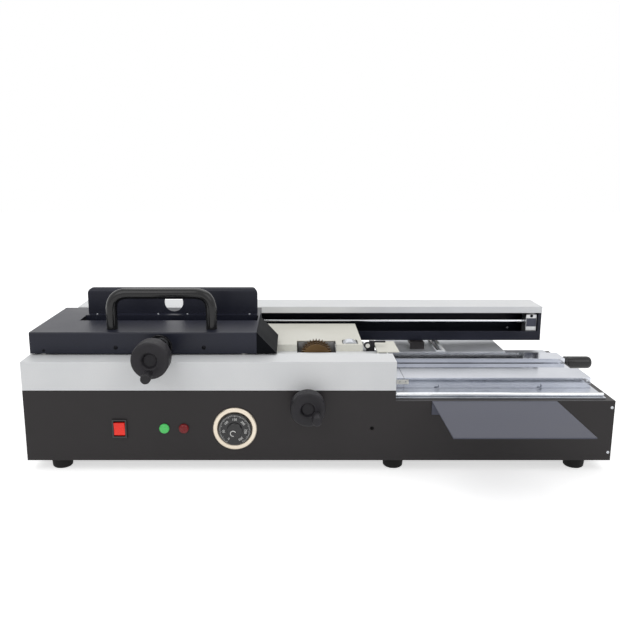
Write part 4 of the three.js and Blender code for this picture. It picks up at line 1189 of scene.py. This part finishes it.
@dataclass
class PanelFittings:
    """The rocker switch, the two lamps and the heat dial on the front panel.

    Places along Y are measured from the panel's face, and turns are in degrees.
    """

    shop: Workshop
    height: float = 80.0
    lamps: tuple[float, float] = (-263.0, -230.0)
    lamp_radius: float = 8.5
    lamp_rim: float = 1.6
    lamp_dome: float = 4.4
    lamp_wall: float = 2.3
    dome_step: int = 10
    gap: float = 0.3
    dial: float = -143.0
    ring_radius: float = 37.5
    skirt_radius: float = 28.5
    knob_radius: float = 13.0
    spindle_radius: float = 3.5
    face: float = -7.6
    marks: int = 61
    step: float = 4.9
    marks_a_group: float = 5.0
    mark_inset: float = 2.3
    mark_length: float = 3.4
    mark_width: float = 0.42
    short_share: float = 0.6
    numbers: tuple[int, ...] = (0, 50, 100, 150, 200, 250, 300)
    number_turn: float = 49.0
    number_radius: float = 18.6
    number_size: float = 5.6
    number_rise: float = 0.12
    pointer_radius: float = 4.6
    pointer_offset: tuple[float, float] = (-2.4, -5.2)
    pointer_start: float = 30.0
    pointer_step: float = 14.0
    pointer_points: int = 19
    pointer_sides: int = 12
    pointer_width: float = 1.5

    def build(self) -> None:
        """Dresses the switch, then makes the lamps and the dial."""
        self.shop.dress(GLOSS_BLACK, rocker_bezel=0.5)
        self.shop.dress(RED_LENS, rocker_button=0.7)
        self.lamp("lamp_green", self.lamps[0], GREEN_LENS)
        self.lamp("lamp_red", self.lamps[1], DARK_RED_LENS)
        self.ring()
        self.knob()
        self.ticks()
        self.numerals()
        self.pointer()

    def lamp(self, node: str, x: float, finish: Finish) -> None:
        """Turns one domed lens.

        Args:
            node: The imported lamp.
            x: Its place along the panel.
            finish: The lens's finish.
        """
        _, back = self.shop.span(node, Axis.Y)
        r, inner, seat = self.lamp_radius, self.lamp_radius - self.lamp_wall, -self.gap
        profile = [(0.0, -self.lamp_rim - self.lamp_dome)]
        for degrees in range(90 - self.dome_step, -1, -self.dome_step):
            angle = math.radians(degrees)
            reach = -self.lamp_rim - self.lamp_dome * math.sin(angle)
            profile.append((r * math.cos(angle), reach))
        profile += [(r, seat), (inner, seat), (inner, back), (0.0, back)]
        centre = (x, self.height)
        self.shop.turn(f"{node}_lens", profile, Axis.Y, centre, finish, "base", [node], fillet=0.2)

    def ring(self) -> None:
        """Turns the pale ring round the dial."""
        r, inner, gap = self.ring_radius, self.skirt_radius, self.gap
        bore = self.spindle_radius + gap
        profile = [
            (bore, -gap), (r, -gap), (r, -2.0), (r - 1.6, -3.9), (r - 3.6, -4.3),
            (inner + 2.6, -4.3), (inner + 0.8, -3.6), (inner + gap, -2.3), (bore, -2.3),
            (bore, -gap),
        ]
        centre = (self.dial, self.height)
        self.shop.turn(
            "dial_ring", profile, Axis.Y, centre, DIAL_RING, "base", ["dial_bezel"], fillet=0.5
        )

    def knob(self) -> None:
        """Turns the dial's polished skirt, its low centre and its spindle."""
        r, low, spindle = self.skirt_radius, self.knob_radius, self.spindle_radius
        tip, back = self.shop.span("dial_knob", Axis.Y)
        profile = [
            (0.0, tip + 0.5), (low - 4, tip), (low - 1.4, tip + 0.2), (low, tip + 1.8),
            (low + 0.4, self.face), (r - 1.8, self.face), (r, self.face + 2.2),
            (r, -2.7), (spindle, -2.7), (spindle, back), (0.0, back),
        ]
        name, node, centre = "dial_turned", "dial_knob", (self.dial, self.height)
        self.shop.turn(
            name, profile, Axis.Y, centre, GLOSS_BLACK, "dial", [node], fillet=0.7, steps=96
        )

    def ticks(self) -> None:
        """Sets the dial's marks with Geometry Nodes, every fifth one longer."""
        tree = Pattern(
            "dial_ticks",
            Count=self.marks,
            Start=math.radians(-self.step * (self.marks - 1) / 2),
            Step=math.radians(self.step),
            Group=self.marks_a_group,
            Radius=(self.skirt_radius - self.mark_inset) * MM,
            Length=self.mark_length * MM,
            Width=self.mark_width * MM,
            Short=self.short_share,
        )
        given = tree.given
        index = tree.add("GeometryNodeInputIndex")
        turned = tree.add("ShaderNodeMath", {0: index, 1: given["Step"]}, operation="MULTIPLY")
        angle = tree.add("ShaderNodeMath", {0: turned, 1: given["Start"]}, operation="ADD")
        fifth = tree.add("ShaderNodeMath", {0: index, 1: given["Group"]}, operation="MODULO")
        long = tree.add("ShaderNodeMath", {0: fifth, 1: 0.5}, operation="LESS_THAN")
        size = tree.add("ShaderNodeMapRange", {"Value": long, "To Min": given["Short"]})
        half = tree.add("ShaderNodeMath", {0: given["Length"], 1: size}, operation="MULTIPLY")
        inset = tree.add("ShaderNodeMath", {0: half, 1: 0.5}, operation="MULTIPLY")
        reach = tree.add("ShaderNodeMath", {0: given["Radius"], 1: inset}, operation="SUBTRACT")
        sine = tree.add("ShaderNodeMath", {0: angle}, operation="SINE")
        cosine = tree.add("ShaderNodeMath", {0: angle}, operation="COSINE")
        across = tree.add("ShaderNodeMath", {0: sine, 1: reach}, operation="MULTIPLY")
        up = tree.add("ShaderNodeMath", {0: cosine, 1: reach}, operation="MULTIPLY")
        place = tree.add("ShaderNodeCombineXYZ", {"X": across, "Z": up})
        row = tree.add("GeometryNodeMeshLine", {"Count": given["Count"]})
        ring = tree.add("GeometryNodeSetPosition", {"Geometry": row, "Position": place})
        bar_size = tree.add(
            "ShaderNodeCombineXYZ", {"X": given["Width"], "Y": given["Width"], "Z": given["Length"]}
        )
        bar = tree.add("GeometryNodeMeshCube", {"Size": bar_size})
        lean = tree.add("ShaderNodeCombineXYZ", {"Y": angle})
        stretch = tree.add("ShaderNodeCombineXYZ", {"X": 1.0, "Y": 1.0, "Z": size})
        bars = tree.add(
            "GeometryNodeInstanceOnPoints",
            {"Points": ring, "Instance": bar, "Rotation": lean, "Scale": stretch},
        )
        mesh = tree.run(bars, points_mesh("dial_ticks", [Vector()]), MARK_WHITE)
        mesh.transform(Matrix.Translation(self.shop.at((self.dial, self.face, self.height))))
        self.shop.settle("dial_ticks", mesh, MARK_WHITE, "dial")

    def numerals(self) -> None:
        """Stands each number on the dial, with its top outwards."""
        shell = bmesh.new()
        middle = (len(self.numbers) - 1) / 2
        for i, number in enumerate(self.numbers):
            turn = math.radians((i - middle) * self.number_turn)
            curve = bpy.data.curves.new(f"number_{number}", "FONT")
            curve.body = str(number)
            curve.size = self.number_size * MM
            curve.extrude = self.number_rise * MM
            curve.align_x = "CENTER"
            curve.align_y = "CENTER"
            mesh = flatten(hang(curve.name, curve))
            r = self.number_radius
            place = (self.dial + r * math.sin(turn), self.face, self.height + r * math.cos(turn))
            lean = Matrix.Rotation(turn, 4, "Y") @ Matrix.Rotation(math.pi / 2, 4, "X")
            mesh.transform(Matrix.Translation(self.shop.at(place)) @ lean)
            shell.from_mesh(mesh)
        self.shop.settle("dial_numbers", close(shell, "dial_numbers"), MARK_WHITE, "dial")

    def pointer(self) -> None:
        """Runs the curved white mark on the dial's low centre."""
        tip, _ = self.shop.span("dial_knob", Axis.Y)
        r, (aside, below) = self.pointer_radius, self.pointer_offset
        path = []
        for i in range(self.pointer_points):
            angle = math.radians(self.pointer_start + i * self.pointer_step)
            across = self.dial + aside + r * math.cos(angle)
            up = self.height + below + r * math.sin(angle)
            path.append((across, tip + self.gap, up))
        width, sides = self.pointer_width / 2, self.pointer_sides
        self.shop.tube("dial_pointer", path, width, MARK_WHITE, "dial", sides=sides)


@dataclass
class Studio:
    """The pale floor, the soft lights, the white world and the camera.

    A lamp is its X, Y, Z and width in metres, and its power in watts. The eye is in
    the machine's millimetres, the pitch in degrees.
    """

    shop: Workshop
    eye: tuple[float, float, float] = (-46.0, -1142.0, 527.0)
    pitch: float = 11.93
    shift: float = 0.029
    lens: float = 41.3
    floor_size: float = 12.0
    floor_glow: float = 0.62
    room_light: float = 0.4
    aim_height: float = 0.15
    lamps: tuple[tuple[float, float, float, float, float], ...] = (
        (-1.6, -2.4, 2.6, 2.4, 26.0),
        (1.9, -2.0, 2.2, 2.2, 16.5),
        (0.0, 1.2, 2.8, 2.6, 24.0),
    )

    def build(self) -> None:
        """Sets the stage round the machine."""
        self.floor()
        self.world()
        self.lights()
        self.camera()
        bpy.context.scene.view_settings.view_transform = "Standard"

    def rays(self, tree: bpy.types.NodeTree) -> Any:
        """Tells the rays that come from the camera, or off or through a surface.

        Args:
            tree: The tree that asks.

        Returns:
            An output that is 1 on such rays, and 0 on all others.
        """
        path = put(tree, "ShaderNodeLightPath").outputs
        seen = path["Is Camera Ray"]
        for kind in ("Is Glossy Ray", "Is Transmission Ray"):
            both = {0: seen, 1: path[kind]}
            seen = put(tree, "ShaderNodeMath", both, operation="MAXIMUM").outputs[0]
        return seen

    def floor(self) -> None:
        """Lays the floor: matt white, and white behind the machine."""
        half = self.floor_size / 2
        corners = [(-half, -half, 0), (half, -half, 0), (half, half, 0), (-half, half, 0)]
        mesh = bpy.data.meshes.new("floor")
        mesh.from_pydata(corners, [], [(0, 1, 2, 3)])
        # Studio floor: matt white paper that keeps the machine's soft shadow.
        paper = bpy.data.materials.new("studio_paper")
        paper.use_nodes = True
        tree = paper.node_tree
        tree.nodes.clear()
        white = linear("ffffff")
        matt = put(tree, "ShaderNodeBsdfDiffuse", {"Color": white}).outputs[0]
        glow = {"Color": white, "Strength": self.floor_glow}
        lit = put(tree, "ShaderNodeEmission", glow).outputs[0]
        none = put(tree, "ShaderNodeEmission", {"Strength": 0.0}).outputs[0]
        extra = put(tree, "ShaderNodeMixShader", {0: self.rays(tree), 1: none, 2: lit}).outputs[0]
        both = put(tree, "ShaderNodeAddShader", {0: matt, 1: extra}).outputs[0]
        put(tree, "ShaderNodeOutputMaterial", {"Surface": both})
        mesh.materials.append(paper)
        hang("floor", mesh)

    def world(self) -> None:
        """Fills the room with soft light, and shows as white where it is seen."""
        world = bpy.data.worlds.new("studio_world")
        world.use_nodes = True
        tree = world.node_tree
        tree.nodes.clear()
        levels = {"Value": self.rays(tree), "To Min": self.room_light}
        strength = put(tree, "ShaderNodeMapRange", levels).outputs[0]
        room = {"Color": linear("ffffff"), "Strength": strength}
        light = put(tree, "ShaderNodeBackground", room).outputs[0]
        put(tree, "ShaderNodeOutputWorld", {"Surface": light})
        bpy.context.scene.world = world

    def lights(self) -> None:
        """Hangs the soft boxes, each aimed at the machine."""
        for number, (x, y, z, size, power) in enumerate(self.lamps, 1):
            lamp = bpy.data.lights.new(f"soft_box_{number}", "AREA")
            lamp.shape = "SQUARE"
            lamp.size = size
            lamp.energy = power
            holder = hang(lamp.name, lamp)
            holder.location = (x, y, z)
            aim = Vector((0.0, 0.0, self.aim_height)) - holder.location
            holder.rotation_euler = aim.to_track_quat("-Z", "Y").to_euler()

    def camera(self) -> None:
        """Stands the camera where the photograph was taken from."""
        data = bpy.data.cameras.new("photo_camera")
        data.lens = self.lens
        data.shift_x = self.shift
        holder = hang("photo_camera", data)
        holder.location = self.shop.at(self.eye)
        holder.rotation_euler = (math.radians(90 - self.pitch), 0.0, 0.0)
        bpy.context.scene.camera = holder


def main() -> None:
    """Builds the machine's sub-assemblies in order, then the studio."""
    logging.basicConfig(level=logging.INFO, format="%(name)s: %(message)s")
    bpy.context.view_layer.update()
    shop = Workshop()
    clamp = HandDrive(
        shop,
        "clamp",
        axis=(-274.0, 212.0),
        crank_axis=(-274.0, 193.5),
        front=-50.0,
        depth=38.0,
        radius=31.0,
        bore=(6.3, -31.0),
    )
    depth = HandDrive(
        shop,
        "depth",
        axis=(-20.0, 128.0),
        crank_axis=(-6.7, 122.4),
        front=-45.0,
        depth=28.0,
        radius=29.0,
        bore=(5.3, -26.0),
    )
    assemblies = [
        BaseHousing(shop),
        WorkingWell(shop),
        Carriage(shop),
        ClampBearing(shop),
        clamp,
        depth,
        GuideBeam(shop),
        Deck(shop),
        NipStation(shop),
        PanelFittings(shop),
        Studio(shop),
    ]
    for assembly in assemblies:
        log.info("building %s", type(assembly).__name__)
        assembly.build()


if __name__ == "__main__":
    main()
